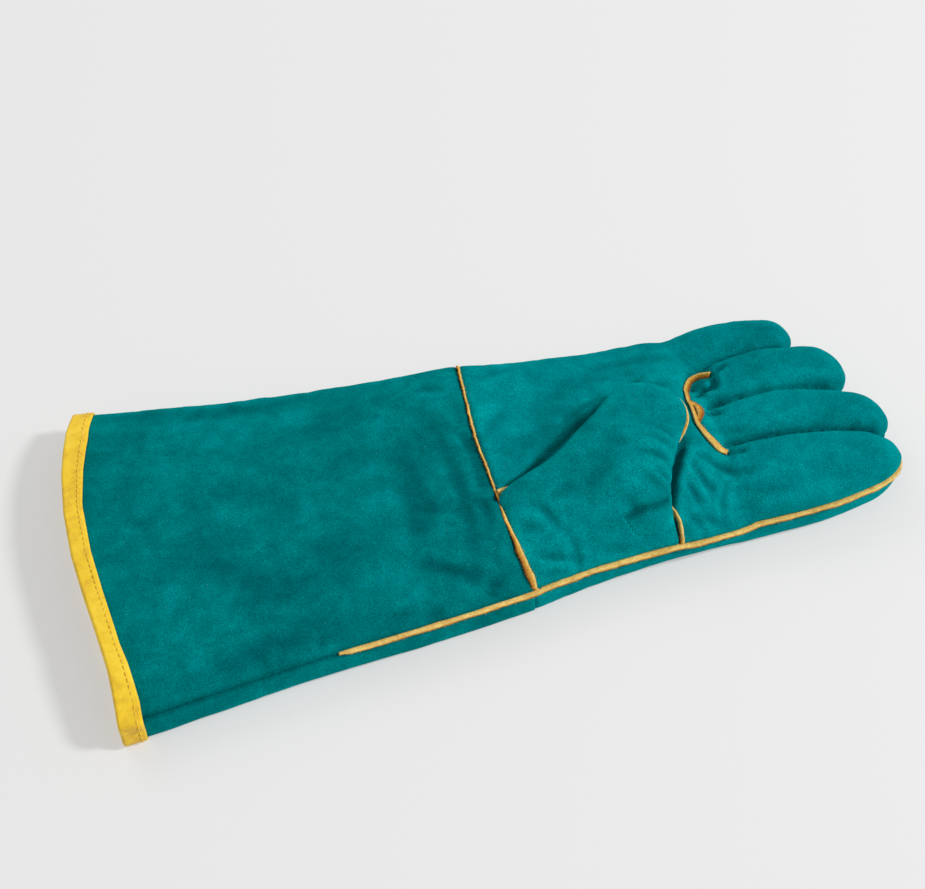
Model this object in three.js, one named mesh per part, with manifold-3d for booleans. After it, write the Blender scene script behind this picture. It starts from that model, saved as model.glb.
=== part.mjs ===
// A right-hand leather welding gauntlet, lying palm up with its thumb folded over the palm.
// Millimetres, +Z up. X runs from the cuff's mouth to the fingertips, and +Y is the little finger's side.
// The leather is a hollow wall: a cuff in two panels, a hand in panels with four fingers, and a thumb,
// sewn together over welts, which are the thin strips of yellow leather that show in the seams.
import * as THREE from 'three';
import { mergeVertices } from 'three/addons/utils/BufferGeometryUtils.js';
import Module from 'manifold-3d';

const wasm = await Module();
wasm.setup();

// Lengths along the glove
const cuffLength = 200.5;
const palmLength = 118; // wrist seam to the crotches of the fingers
const fingerLength = 89.5; // crotch to the tip of the middle finger

// Widths across the glove, as it lies
const hemWidth = 188;
const wristWidth = 150;
const palmWidth = 130;
const handShift = 4; // the hand sits this far towards the little finger from the cuff's middle

// Heights above the surface that it lies on
const hemHeight = 25;
const wristHeight = 28;
const palmHeight = 29;
const fingerHeight = 28;
const sideHeight = 15.5; // where a section is widest
const nearSeamHeight = 15.5; // of the seam between the palm side and the back, at the palm's near edge
const farSeamHeight = 8.5; // and at its far edge

// Leather
const wall = 2.4; // leather and its cotton lining
const clearance = 0.3; // between pieces that are sewn together

// Thumb
const thumbBase = 80; // along the near side, from the wrist seam to the base welt
const thumbReach = 79; // across, from the near side to the tip
const thumbWidth = 42; // near the tip
const thumbHeight = 19;
const thumbSeamShare = 0.28; // its welt runs at this share of its height
const thumbRest = 0.6; // gap between the thumb and the palm that it lies on

// Welts
const weltThickness = 2.4;
const weltProud = 1.8;
const thumbWeltProud = 1;
const cuffWeltLength = 92; // how far the side welts run on from the wrist along the cuff

// Hem
const hemBow = 16; // the mouth's edge is this far further out in its middle than at the near corner
const wristBow = 5.5; // the wrist seam bows the same way, by this much
const bindingWidth = 11;
const bindingThickness = 1.1;

// Fingers inside the hand
const rootInset = 26; // a finger's tube starts this far inside the palm
const rootSink = 0.78; // at this share of the finger's height

// Roundness of the sections: 2 is an ellipse, and more is boxier
const topFullness = 2.2;
const cuffBaseFullness = 6;
const cuffSpread = 3.5; // the cuff's sides stand out this much further below their seams
const baseFullness = 3.6;
const thumbFullness = 2.1;
const fingerTipDepth = 0.55; // of the rounded tip, as a share of the finger's width there
const thumbTipDepth = 0.42; // as a share of the thumb's width
const tipBluntness = 0.85; // 1 is round, and less is blunter

// Facets round a section
const bodyFacets = 32;
const fingerFacets = 16;
const thumbFacets = 20;
const sideWeltSteps = 52; // along a welt
const thumbWeltSteps = 34;
const fingerWeltSteps = 16;
const tipAngles = [0, 0.3, 0.55, 0.78, 1].map((share) => (share * Math.PI) / 2);

// Cuff: along from hem to wrist, flare from wrist width to hem width, rise from hem height to wrist height
const cuffTable = [
  { along: 0.0, flare: 1.0, rise: 0.0 },
  { along: 0.075, flare: 0.93, rise: 0.05 },
  { along: 0.22, flare: 0.74, rise: 0.25 },
  { along: 0.41, flare: 0.48, rise: 0.55 },
  { along: 0.56, flare: 0.34, rise: 0.75 },
  { along: 0.72, flare: 0.22, rise: 0.9 },
  { along: 0.87, flare: 0.1, rise: 1.0 },
  { along: 1.0, flare: 0.0, rise: 1.0 },
];

// How far the mouth's edge is set back, as a share of the hem bow, from the near corner to the far one
const hemTable = [
  { across: -1.0, back: 1.0 },
  { across: -0.86, back: 0.8 },
  { across: -0.69, back: 0.7 },
  { across: -0.48, back: 0.5 },
  { across: -0.26, back: 0.29 },
  { across: 0.0, back: 0.08 },
  { across: 0.28, back: 0.0 },
  { across: 0.54, back: 0.06 },
  { across: 0.69, back: 0.17 },
  { across: 0.84, back: 0.32 },
  { across: 1.0, back: 0.6 },
];

// Hand: along from wrist to crotch, flare from palm width to wrist width, rise as a share of palm height
const handTable = [
  { along: 0.0, flare: 1.0, rise: wristHeight / palmHeight },
  { along: 0.13, flare: 0.72, rise: 0.98 },
  { along: 0.25, flare: 0.48, rise: 1.0 },
  { along: 0.42, flare: 0.26, rise: 1.0 },
  { along: 0.62, flare: 0.08, rise: 1.0 },
  { along: 0.8, flare: 0.03, rise: 1.0 },
  { along: 0.92, flare: -0.08, rise: 0.95 },
  { along: 1.0, flare: -0.25, rise: 0.84 },
];

// Index, middle, ring and little finger. reach is a share of the finger length, and height of the finger
// height. spread, in mm, is how far the sides stand out below their seams. The places across, from the
// hand's middle line, and the widths are shares of the palm width, at the crotch, half way and near the tip.
const fingerTable = [
  { reach: 0.953, height: 1.03, spread: 3, across: [-0.3, -0.306, -0.32], width: [0.345, 0.3, 0.172] },
  { reach: 1.0, height: 1.0, spread: 0, across: [-0.032, -0.036, -0.122], width: [0.19, 0.222, 0.19] },
  { reach: 0.904, height: 1.0, spread: 0, across: [0.158, 0.19, 0.142], width: [0.19, 0.218, 0.2] },
  { reach: 0.71, height: 0.93, spread: 0, across: [0.372, 0.394, 0.38], width: [0.215, 0.19, 0.165] },
];

// Thumb, from its root inside the hand to its tip. along is a share of its base and across of its reach.
// girth is a share of the thumb width, and low and high are shares of the palm height, then of the thumb's
// own height above the palm. tilt lowers the side by the wrist.
const thumbTable = [
  { along: 0.52, across: 0.11, turn: 92, girth: 1.72, low: 0.2, high: 0.66, over: 0.0, tilt: 0.0 },
  { along: 0.5, across: 0.19, turn: 90, girth: 1.86, low: 0.28, high: 0.88, over: 0.0, tilt: 0.02 },
  { along: 0.49, across: 0.285, turn: 84, girth: 1.94, low: 0.5, high: 1.0, over: 0.14, tilt: 0.05 },
  { along: 0.5, across: 0.372, turn: 75, girth: 1.9, low: 0.78, high: 1.0, over: 0.42, tilt: 0.07 },
  { along: 0.67, across: 0.475, turn: 58, girth: 1.43, low: 1.0, high: 1.0, over: 0.84, tilt: 0.02 },
  { along: 0.795, across: 0.61, turn: 54, girth: 1.2, low: 1.0, high: 1.0, over: 1.0, tilt: 0.0 },
  { along: 0.93, across: 0.755, turn: 51, girth: 1.05, low: 1.0, high: 1.0, over: 1.0, tilt: 0.0 },
  { along: 1.03, across: 0.865, turn: 50, girth: 0.98, low: 1.0, high: 1.0, over: 0.95, tilt: 0.0 },
];

const thumbLeaves = 3; // the row where it leaves the hand

// Welt across the base of the two middle fingers, as shares of the palm length and of the palm width
const fingerWeltTable = [
  { along: 1.07, across: 0.268 },
  { along: 1.045, across: 0.26 },
  { along: 1.015, across: 0.25 },
  { along: 0.982, across: 0.23 },
  { along: 0.955, across: 0.2 },
  { along: 0.94, across: 0.165 },
  { along: 0.928, across: 0.12 },
  { along: 0.924, across: 0.06 },
  { along: 0.92, across: 0.0 },
  { along: 0.922, across: -0.06 },
  { along: 0.94, across: -0.105 },
  { along: 0.97, across: -0.128 },
  { along: 1.01, across: -0.13 },
];

// Folds and hollows of the palm side. Places are shares of the palm length and width, the lengths are
// shares of the palm width, and a depth is a share of the palm height. turn is in degrees from the X axis.
const foldTable = [
  { along: -1.1, across: -0.05, long: 0.5, wide: 0.2, depth: 0.06, turn: 8 },
  { along: -0.32, across: 0.12, long: 0.26, wide: 0.16, depth: 0.07, turn: -12 },
  { along: -0.5, across: -0.42, long: 0.25, wide: 0.07, depth: 0.09, turn: 12 },
  { along: 0.1, across: -0.38, long: 0.2, wide: 0.08, depth: 0.12, turn: 35 },
  { along: 0.3, across: 0.26, long: 0.4, wide: 0.1, depth: 0.07, turn: 24 },
  { along: 0.9, across: -0.26, long: 0.1, wide: 0.05, depth: 0.13, turn: 60 },
  { along: 1.0, across: 0.19, long: 0.06, wide: 0.045, depth: 0.22, turn: 30 },
];

// Shared places

// The seam between the palm side and the back falls evenly towards the far side.
const seamSlope = (farSeamHeight - nearSeamHeight) / palmWidth;
const seamAt = (y) => nearSeamHeight + seamSlope * (y + palmWidth / 2);
const weltHalf = weltThickness / 2;
const weltSlot = weltHalf + clearance; // half the gap that a welt fills
const hemFloor = bindingThickness + clearance; // the hem stands on its binding, this high
const pastSeam = hemBow; // tubes run on this far past a cross seam, and are cut along it
const reachAll = 2 * (cuffLength + palmLength + fingerLength + hemWidth); // clear of everything

// Sections and tubes

const plan = (x, y) => new THREE.Vector2(x, y);
const blend = (a, b, share) => a + (b - a) * share;
const acrossOf = (turn) => new THREE.Vector3(-Math.sin(turn), Math.cos(turn), 0);
const aheadOf = (turn) => new THREE.Vector3(Math.cos(turn), Math.sin(turn), 0);

// A row of a table at any value of one of its columns, between its two neighbours.
function rowAt(table, column, value) {
  const last = table.length - 1;
  let i = 0;
  while (i < last - 1 && table[i + 1][column] < value) i += 1;
  const [low, high] = [table[i], table[i + 1]];
  const share = THREE.MathUtils.clamp((value - low[column]) / (high[column] - low[column]), 0, 1);
  const row = {};
  for (const key of Object.keys(low)) row[key] = blend(low[key], high[key], share);
  return row;
}

// How far the folds lower the palm side at a place in plan.
function foldDrop(x, y) {
  let drop = 0;
  for (const fold of foldTable) {
    const turn = THREE.MathUtils.degToRad(fold.turn);
    const [dx, dy] = [x - fold.along * palmLength, y - handShift - fold.across * palmWidth];
    const lengthwise = (dx * Math.cos(turn) + dy * Math.sin(turn)) / (fold.long * palmWidth);
    const crosswise = (dy * Math.cos(turn) - dx * Math.sin(turn)) / (fold.wide * palmWidth);
    drop += fold.depth * palmHeight * Math.exp(-lengthwise * lengthwise - crosswise * crosswise);
  }
  return drop;
}

// A closed loop of points round one section, grown outwards by grow, or inwards where it is negative.
function sectionLoop(station, grow, facets) {
  const loop = [];
  const across = acrossOf(station.turn);
  const round = station.round ?? 1;
  for (let i = 0; i < facets; i += 1) {
    const angle = (2 * Math.PI * i) / facets;
    const [side, up] = [Math.cos(angle), Math.sin(angle)];
    const under = up < -1e-9;
    const fullness = under ? (station.baseFullness ?? baseFullness) : (station.fullness ?? topFullness);
    const reach = under ? station.seam - station.bottom : station.top - station.seam;
    const spread = under ? (station.spread ?? 0) * side * Math.min(1, -2 * up) : 0;
    const shaped = (value) => Math.sign(value) * Math.abs(value) ** (2 / fullness);
    const width = ((station.half + grow) * shaped(side) + spread) * round;
    const height = (reach + grow) * shaped(up) * round;
    const z = Math.max(station.seam + height + (station.tilt ?? 0) * width, station.floor - grow);
    const point = new THREE.Vector3(station.x, station.y, z).addScaledVector(across, width);
    if (!under) point.z -= foldDrop(point.x, point.y) * Math.min(1, 2 * up) * (station.folded ?? 1);
    loop.push(point);
  }
  return loop;
}

// A solid through loops of equal length. An end loop may be a single point.
function solidThrough(loops) {
  const positions = [];
  const triangles = [];
  const starts = loops.map((loop) => {
    const start = positions.length / 3;
    loop.forEach((p) => positions.push(p.x, p.y, p.z));
    return start;
  });
  for (let k = 0; k < loops.length - 1; k += 1) {
    const count = Math.max(loops[k].length, loops[k + 1].length);
    const at = (loop, i) => starts[loop] + (loops[loop].length === 1 ? 0 : i % count);
    for (let i = 0; i < count; i += 1) {
      const [a, b, c, d] = [at(k, i), at(k, i + 1), at(k + 1, i + 1), at(k + 1, i)];
      if (a !== b) triangles.push(a, b, c);
      if (c !== d) triangles.push(a, c, d);
    }
  }
  [0, loops.length - 1].forEach((k) => {
    const loop = loops[k];
    if (loop.length === 1) return;
    const middle = loop.reduce((sum, p) => sum.add(p), new THREE.Vector3()).divideScalar(loop.length);
    const centre = positions.length / 3;
    positions.push(middle.x, middle.y, middle.z);
    for (let i = 0; i < loop.length; i += 1) {
      const [a, b] = [starts[k] + i, starts[k] + ((i + 1) % loop.length)];
      triangles.push(...(k === 0 ? [centre, b, a] : [centre, a, b]));
    }
  });
  return manifoldOf(positions, triangles);
}

function manifoldOf(positions, triangles) {
  const geometry = new THREE.BufferGeometry();
  geometry.setAttribute('position', new THREE.Float32BufferAttribute(positions, 3));
  geometry.setIndex(triangles);
  const merged = mergeVertices(geometry, 1e-4);
  const mesh = new wasm.Mesh({
    numProp: 3,
    vertProperties: new Float32Array(merged.attributes.position.array),
    triVerts: new Uint32Array(merged.index.array),
  });
  const solid = new wasm.Manifold(mesh);
  if (solid.volume() >= 0) return solid;
  for (let i = 0; i < mesh.triVerts.length; i += 3) {
    [mesh.triVerts[i + 1], mesh.triVerts[i + 2]] = [mesh.triVerts[i + 2], mesh.triVerts[i + 1]];
  }
  return new wasm.Manifold(mesh);
}

// A three.js geometry as a solid.
function solidOf(geometry) {
  const flat = geometry.index ? geometry.toNonIndexed() : geometry;
  const positions = Array.from(flat.attributes.position.array);
  return manifoldOf(positions, positions.slice(0, positions.length / 3).map((_, i) => i));
}

// A block over a closed outline in plan, between two heights above a base, which may fall with y.
function prism(outline, low, high, baseAt = () => 0) {
  const shape = new THREE.Shape(outline);
  const geometry = new THREE.ExtrudeGeometry(shape, { depth: high - low, bevelEnabled: false });
  const place = geometry.attributes.position;
  for (let i = 0; i < place.count; i += 1) {
    place.setZ(i, place.getZ(i) + low + baseAt(place.getY(i)));
  }
  return solidOf(geometry);
}

// Cuff and hand body

// The cuff's underside rises onto its binding over the length of another binding width.
function cuffStation(along) {
  const row = rowAt(cuffTable, 'along', along);
  const fromHem = along * cuffLength;
  return {
    x: fromHem - cuffLength,
    y: handShift * along ** 4,
    turn: 0,
    half: blend(wristWidth, hemWidth, row.flare) / 2 - hemFloor,
    spread: cuffSpread,
    baseFullness: cuffBaseFullness,
    bottom: -wall,
    seam: sideHeight,
    top: blend(hemHeight, wristHeight, row.rise) - blend(hemFloor, 0, along),
    floor: fromHem <= 2 * bindingWidth ? hemFloor : 0,
  };
}

function handStation(along) {
  const row = rowAt(handTable, 'along', along);
  return {
    x: along * palmLength,
    y: handShift,
    turn: 0,
    half: blend(palmWidth, wristWidth, row.flare) / 2 - hemFloor * (1 - along),
    spread: blend(cuffSpread, 0, along),
    baseFullness: blend(cuffBaseFullness, baseFullness, along),
    bottom: -wall,
    seam: sideHeight,
    top: row.rise * palmHeight,
    floor: 0,
  };
}

// The mouth's edge and the wrist seam are curved: each place across is set back by this much.
const hemBack = (y) => rowAt(hemTable, 'across', (2 * y) / hemWidth).back * hemBow;
function wristBack(y) {
  const share = THREE.MathUtils.clamp(Math.abs((2 * (y - handShift)) / wristWidth), 0, 1);
  return wristBow * share * share;
}

// The curves fade out between the two, and into the palm.
function bowed(points) {
  return points.map((p) => {
    const fromWrist = THREE.MathUtils.clamp(-p.x / cuffLength, 0, 1);
    const fading = THREE.MathUtils.clamp(1 - Math.abs(p.x) / thumbBase, 0, 1);
    return new THREE.Vector3(p.x + hemBack(p.y) * fromWrist ** 2 + wristBack(p.y) * fading, p.y, p.z);
  });
}

// Everything between two lengths, each measured from a cross seam.
const pastSide = 1.2; // it reaches this much further out than the cuff is wide
const crossShares = [-pastSide, ...hemTable.map((row) => row.across), pastSide];
const crossPlaces = crossShares.map((share) => (share * hemWidth) / 2);
function between(backFrom, from, backTo, to) {
  const start = crossPlaces.map((y) => plan(from + backFrom(y), y));
  const end = crossPlaces.map((y) => plan(to + backTo(y), y)).reverse();
  return prism([...start, ...end], -reachAll, reachAll);
}

function cuffTube(grow) {
  const stations = cuffTable.map((row) => cuffStation(row.along));
  stations.unshift({ ...stations[0], x: stations[0].x - pastSeam });
  stations.push({ ...stations.at(-1), x: pastSeam });
  return solidThrough(stations.map((s) => bowed(sectionLoop(s, grow, bodyFacets))));
}

function palmTube(grow) {
  const stations = handTable.map((row) => handStation(row.along));
  stations.at(-1).x += grow;
  stations.unshift({ ...stations[0], x: stations[0].x - pastSeam });
  return solidThrough(stations.map((s) => bowed(sectionLoop(s, grow, bodyFacets))));
}

// Fingers

// A finger's section at x. Its column values run from the crotch, half way and the tip's start.
function fingerShape(finger, x) {
  const share = THREE.MathUtils.clamp((x - palmLength) / (finger.reach * fingerLength), 0, 1);
  const fromRoot = THREE.MathUtils.smoothstep(x, palmLength - rootInset, palmLength + 0.5 * rootInset);
  const at = ([root, middle, tip]) =>
    share < 0.5 ? blend(root, middle, share * 2) : blend(middle, tip, share * 2 - 1);
  return {
    x,
    y: handShift + at(finger.across) * palmWidth,
    turn: 0,
    half: (at(finger.width) * palmWidth) / 2,
    spread: finger.spread * (1 - share),
    bottom: -wall,
    seam: sideHeight,
    top: finger.height * fingerHeight * blend(rootSink, 1, fromRoot),
    floor: 0,
  };
}

function fingerStations(finger, grow) {
  const tip = palmLength + finger.reach * fingerLength + grow;
  const tipDepth = fingerTipDepth * finger.width[2] * palmWidth + grow;
  const straight = tip - tipDepth;
  const stations = [palmLength - rootInset];
  for (const share of [0, 0.3, 0.65]) stations.push(blend(palmLength, straight, share));
  const tube = stations.map((x) => fingerShape(finger, x));
  for (const angle of tipAngles) {
    const x = straight + tipDepth * Math.sin(angle);
    tube.push({ ...fingerShape(finger, x), round: Math.cos(angle) ** tipBluntness });
  }
  return tube;
}

function loopsOf(stations, grow, facets) {
  return stations.map((s) => {
    const loop = sectionLoop(s, grow, facets);
    return (s.round ?? 1) < 1e-3 ? [loop[0]] : loop;
  });
}

const fingerTube = (finger, grow) => solidThrough(loopsOf(fingerStations(finger, grow), grow, fingerFacets));

// Thumb

const nearEdge = (x) => {
  const s = handStation(x / palmLength);
  return s.y - s.half;
};

function thumbStation(row) {
  const overPalm = THREE.MathUtils.clamp((row.low - 0.5) * 2, 0, 1);
  const bottom = row.low * palmHeight + thumbRest * overPalm;
  const top = row.high * palmHeight + row.over * (thumbHeight + thumbRest);
  return {
    x: row.along * thumbBase,
    y: nearEdge(0.5 * thumbBase) + row.across * thumbReach,
    turn: THREE.MathUtils.degToRad(row.turn),
    half: (row.girth * thumbWidth) / 2,
    bottom,
    seam: blend(bottom, top, 0.5),
    top,
    tilt: -row.tilt,
    fullness: thumbFullness,
    folded: 0,
    floor: wall,
  };
}

function thumbStations(grow) {
  const body = thumbTable.map(thumbStation);
  const last = body.at(-1);
  const tipDepth = thumbTipDepth * thumbWidth + grow;
  const ahead = aheadOf(last.turn);
  for (const angle of tipAngles.slice(1)) {
    const step = tipDepth * Math.sin(angle);
    const round = Math.cos(angle) ** tipBluntness;
    body.push({ ...last, x: last.x + ahead.x * step, y: last.y + ahead.y * step, round });
  }
  return body;
}

const thumbTube = (grow) => solidThrough(loopsOf(thumbStations(grow), grow, thumbFacets));

// Heights and edges that the welts follow

function heightOf(station, y) {
  const share = Math.abs(y - station.y) / (station.half * (station.round ?? 1));
  if (share >= 1) return 0;
  const rise = (station.top - station.seam) * (station.round ?? 1);
  return station.seam + rise * (1 - share ** topFullness) ** (1 / topFullness) - foldDrop(station.x, y);
}

// The top of the palm side at a place in plan, without the thumb.
function palmTop(x, y) {
  const heights = [x < palmLength ? heightOf(handStation(x / palmLength), y) : sideHeight + wall];
  for (const finger of fingerTable) {
    if (x > palmLength - rootInset) heights.push(heightOf(fingerShape(finger, x), y));
  }
  return Math.max(...heights);
}

// A strip through points, between two offsets along its side direction and two heights.
function strip(points, sides, [inner, outer], [low, high]) {
  const corners = [[inner, low], [outer, low], [outer, high], [inner, high]];
  const raised = (p, height) => new THREE.Vector3(p.x, p.y, p.z + height);
  return solidThrough(
    points.map((p, i) => corners.map(([out, height]) => raised(p, height).addScaledVector(sides[i], out))),
  );
}

// The direction across a path in plan, to its right.
function rightOf(points) {
  return points.map((p, i) => {
    const ahead = points[Math.min(i + 1, points.length - 1)].clone();
    ahead.sub(points[Math.max(i - 1, 0)]);
    return new THREE.Vector3(ahead.y, -ahead.x, 0).normalize();
  });
}

function spaced(points, count) {
  return new THREE.CatmullRomCurve3(points, false, 'centripetal').getSpacedPoints(count);
}

// How far out a section's side stands at a height.
function sideAt(station, z) {
  const round = station.round ?? 1;
  const under = z < station.seam;
  const fullness = under ? (station.baseFullness ?? baseFullness) : topFullness;
  const reach = under ? station.seam - station.bottom : station.top - station.seam;
  const depth = Math.min(1, Math.abs(z - station.seam) / (reach * round + 1e-9));
  const up = depth ** (fullness / 2);
  const side = Math.sqrt(1 - up * up);
  const spread = under ? (station.spread ?? 0) * side * Math.min(1, 2 * up) : 0;
  return (station.half * side ** (2 / fullness) + spread) * round;
}

// The edge of the glove at the seam, from the cuff to a fingertip. side is -1 for near, and 1 for far.
function sideEdge(finger, side) {
  const edge = (s) => {
    const z = seamAt(s.y + side * s.half);
    return new THREE.Vector3(s.x, s.y + side * sideAt(s, z), z);
  };
  const cuffShare = cuffWeltLength / cuffLength;
  const body = [1, 0.75, 0.5, 0.25].map((share) => edge(cuffStation(1 - share * cuffShare)));
  body.push(...handTable.slice(0, -2).map((row) => edge(handStation(row.along))));
  const line = [...bowed(body), ...fingerStations(finger, 0).slice(1).map(edge)];
  return line.map((p) => new THREE.Vector3(p.x, p.y, seamAt(p.y)));
}

// Solids of the leather

const outerHand = fingerTable.reduce((solid, f) => solid.add(fingerTube(f, 0)), palmTube(0));
const innerHand = fingerTable.reduce((solid, f) => solid.add(fingerTube(f, -wall)), palmTube(-wall));
const outerThumb = thumbTube(0);
const innerThumb = thumbTube(-wall);
const handFrom = (gap) => between(wristBack, gap, wristBack, reachAll);
const cuffTo = (gap) => between(hemBack, -cuffLength, wristBack, -gap);
const handWall = outerHand.add(outerThumb).subtract(innerHand.add(innerThumb));
const cuffWall = cuffTube(0).subtract(cuffTube(-wall));

const everywhere = [[-1, -1], [1, -1], [1, 1], [-1, 1]].map(([x, y]) => plan(x * reachAll, y * reachAll));
const overSeam = prism(everywhere, clearance / 2, reachAll, seamAt);
const underSeam = prism(everywhere, -reachAll, -clearance / 2, seamAt);
const palmSide = handWall.intersect(overSeam).intersect(handFrom(weltSlot));
const backSide = handWall.intersect(underSeam).intersect(handFrom(clearance / 2));
const cuffPalmSide = cuffWall.intersect(overSeam).intersect(cuffTo(weltSlot));
const cuffBackSide = cuffWall.intersect(underSeam).intersect(cuffTo(clearance / 2));

// The gap for a side welt: a thin slab over the outer edge, which ends at the fingertip.
const [indexFinger, middleFinger, ringFinger, littleFinger] = fingerTable;
function sideSlot(finger, side) {
  const start = sideEdge(finger, side)[0].x - clearance;
  const outside = side * hemWidth;
  const inside = fingerStations(finger, 0).at(-1).y - side * weltSlot;
  const corners = [[start, inside], [start, outside], [reachAll, outside], [reachAll, inside]];
  const outline = corners.map(([x, y]) => plan(x, y));
  return prism(outline, -weltSlot, weltSlot, seamAt);
}
const sideSlots = sideSlot(indexFinger, -1).add(sideSlot(littleFinger, 1));

// The thumb's base is the near side of the hand, from the wrist to the base welt and up to the crotch.
const crotchShare = 0.22; // of the thumb's reach, at the base welt
const rootShare = 0.62; // and at the wrist
function baseBlock(grow) {
  const outside = nearEdge(0) - palmWidth;
  const outline = [
    plan(-grow, outside),
    plan(thumbBase + grow, outside),
    plan(thumbBase + grow, nearEdge(thumbBase) + crotchShare * thumbReach + grow),
    plan(-grow, nearEdge(0) + rootShare * thumbReach + grow),
  ];
  return prism(outline, -reachAll, reachAll);
}

const thumbZone = baseBlock(0).add(outerThumb);
const thumbZoneWide = baseBlock(2 * weltSlot).add(thumbTube(clearance));

// Over or under the thumb's own seam, which starts where the thumb leaves the hand.
const thumbSeam = (s) => blend(s.bottom, s.top, thumbSeamShare);
function thumbSlab(low, high) {
  const past = 4 * weltThickness;
  const stations = thumbStations(0).slice(thumbLeaves);
  const last = stations.at(-1);
  const end = aheadOf(last.turn).multiplyScalar(past);
  stations.push({ ...last, x: last.x + end.x, y: last.y + end.y });
  const loops = stations.map((s) => {
    const half = s.half * (s.round ?? 1) + past;
    const corners = [[-half, low], [half, low], [half, high], [-half, high]];
    return corners.map(([out, height]) => {
      const z = thumbSeam(s) + height + s.tilt * out;
      return new THREE.Vector3(s.x, s.y, z).addScaledVector(acrossOf(s.turn), out);
    });
  });
  return solidThrough(loops);
}

const thumbWall = palmSide.intersect(thumbZone);
const thumbUnder = thumbWall.intersect(thumbSlab(-reachAll, -weltSlot)).subtract(baseBlock(clearance));
const thumbUpper = thumbWall.subtract(thumbSlab(-reachAll, weltSlot).subtract(baseBlock(0)));

// The palm and the fronts of the two middle fingers meet at the finger welt.
const fingerWeltPath = fingerWeltTable.map((row) => {
  const [x, y] = [row.along * palmLength, handShift + row.across * palmWidth];
  return new THREE.Vector3(x, y, 0);
});
const fingerWeltLine = spaced(fingerWeltPath, fingerWeltSteps);

// The line in the gap between two fingers, from the crotch to beyond the tips.
function gapLine(near, far) {
  return [0.1, 0.5, 0.8, 1, 1.2].map((share) => {
    const x = palmLength + share * fingerLength;
    const [low, high] = [fingerShape(near, x), fingerShape(far, x)];
    return new THREE.Vector3(x, (low.y + low.half + high.y - high.half) / 2, 0);
  });
}
const frontsLine = [
  ...gapLine(ringFinger, littleFinger).reverse(),
  ...fingerWeltLine,
  ...gapLine(indexFinger, middleFinger),
];
function frontsBlock(grow) {
  const rights = rightOf(frontsLine);
  const line = frontsLine.map((p, i) => plan(p.x + rights[i].x * grow, p.y + rights[i].y * grow));
  return prism(line, 0, reachAll);
}
const palmWhole = palmSide.subtract(thumbZoneWide);
const fingerFronts = palmWhole.intersect(frontsBlock(-weltSlot));
const palm = palmWhole.subtract(frontsBlock(weltSlot));

// The binding is folded over the mouth's edge: a U of leather, round the cuff.
function hemBinding() {
  const outside = clearance + bindingThickness;
  const shell = (out, width) => {
    const band = between(hemBack, -cuffLength - out, hemBack, width - cuffLength);
    return cuffTube(out).subtract(cuffTube(-wall - out)).intersect(band);
  };
  return shell(outside, bindingWidth).subtract(shell(clearance, bindingWidth + clearance));
}

// Welts

function sideWelt(finger, side) {
  const line = spaced(sideEdge(finger, side), sideWeltSteps);
  const outward = rightOf(line).map((v) => v.multiplyScalar(-side));
  outward.forEach((v) => v.setZ(seamSlope * v.y));
  return strip(line, outward, [-wall, weltProud], [-weltHalf, weltHalf]);
}

// A welt that stands in the palm side, along a line in plan.
function standingWelt(line) {
  const points = line.map((p) => {
    const lowest = seamAt(p.y) + weltSlot + wall;
    return new THREE.Vector3(p.x, p.y, Math.max(palmTop(p.x, p.y), lowest));
  });
  return strip(points, rightOf(points), [-weltHalf, weltHalf], [-wall, weltProud]);
}

// Between the thumb's base and the palm, from the side welt up to the crotch.
function thumbBaseWelt() {
  const x = thumbBase + weltSlot;
  const start = nearEdge(thumbBase) + clearance;
  const end = nearEdge(thumbBase) + crotchShare * thumbReach - weltThickness;
  return standingWelt([0, 0.15, 0.35, 0.6, 0.8, 1].map((share) => plan(x, blend(start, end, share))));
}

// Round the thumb's edge, between its upper piece and the piece under it.
function thumbWelt() {
  const stations = thumbStations(0).slice(thumbLeaves + 1);
  const edge = (s, side) => {
    const depth = (s.seam - thumbSeam(s)) / (s.seam - s.bottom);
    const out = s.half * (s.round ?? 1) * (1 - depth ** baseFullness) ** (1 / baseFullness) * side;
    return new THREE.Vector3(s.x, s.y, thumbSeam(s) + s.tilt * out).addScaledVector(acrossOf(s.turn), out);
  };
  const far = stations.map((s) => edge(s, 1));
  const near = stations.slice(0, -1).map((s) => edge(s, -1)).reverse();
  const line = spaced([...far, ...near], thumbWeltSteps);
  const outward = rightOf(line).map((v) => v.negate());
  return strip(line, outward, [-wall, thumbWeltProud], [-weltHalf, weltHalf]);
}

// Between the palm sides of cuff and hand. It ends where it meets the side welts.
function wristWelt() {
  const ring = cuffTube(weltProud).subtract(cuffTube(-wall)).intersect(overSeam);
  return ring.intersect(between(wristBack, -weltHalf, wristBack, weltHalf)).subtract(sideSlots);
}

// Materials

const leather = { color: 0x007f7b, roughness: 0.95, metalness: 0 };
const piping = { color: 0xd9a032, roughness: 0.9, metalness: 0 };
const binding = { color: 0xf2c41c, roughness: 0.85, metalness: 0 };

const gauntlet = new THREE.Group();

function add(name, solid, finish) {
  const made = solid.getMesh();
  const geometry = new THREE.BufferGeometry();
  geometry.setAttribute('position', new THREE.BufferAttribute(Float32Array.from(made.vertProperties), 3));
  geometry.setIndex(new THREE.BufferAttribute(Uint32Array.from(made.triVerts), 1));
  geometry.computeVertexNormals();
  const mesh = new THREE.Mesh(geometry, new THREE.MeshStandardMaterial(finish));
  mesh.name = name;
  gauntlet.add(mesh);
}

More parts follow.
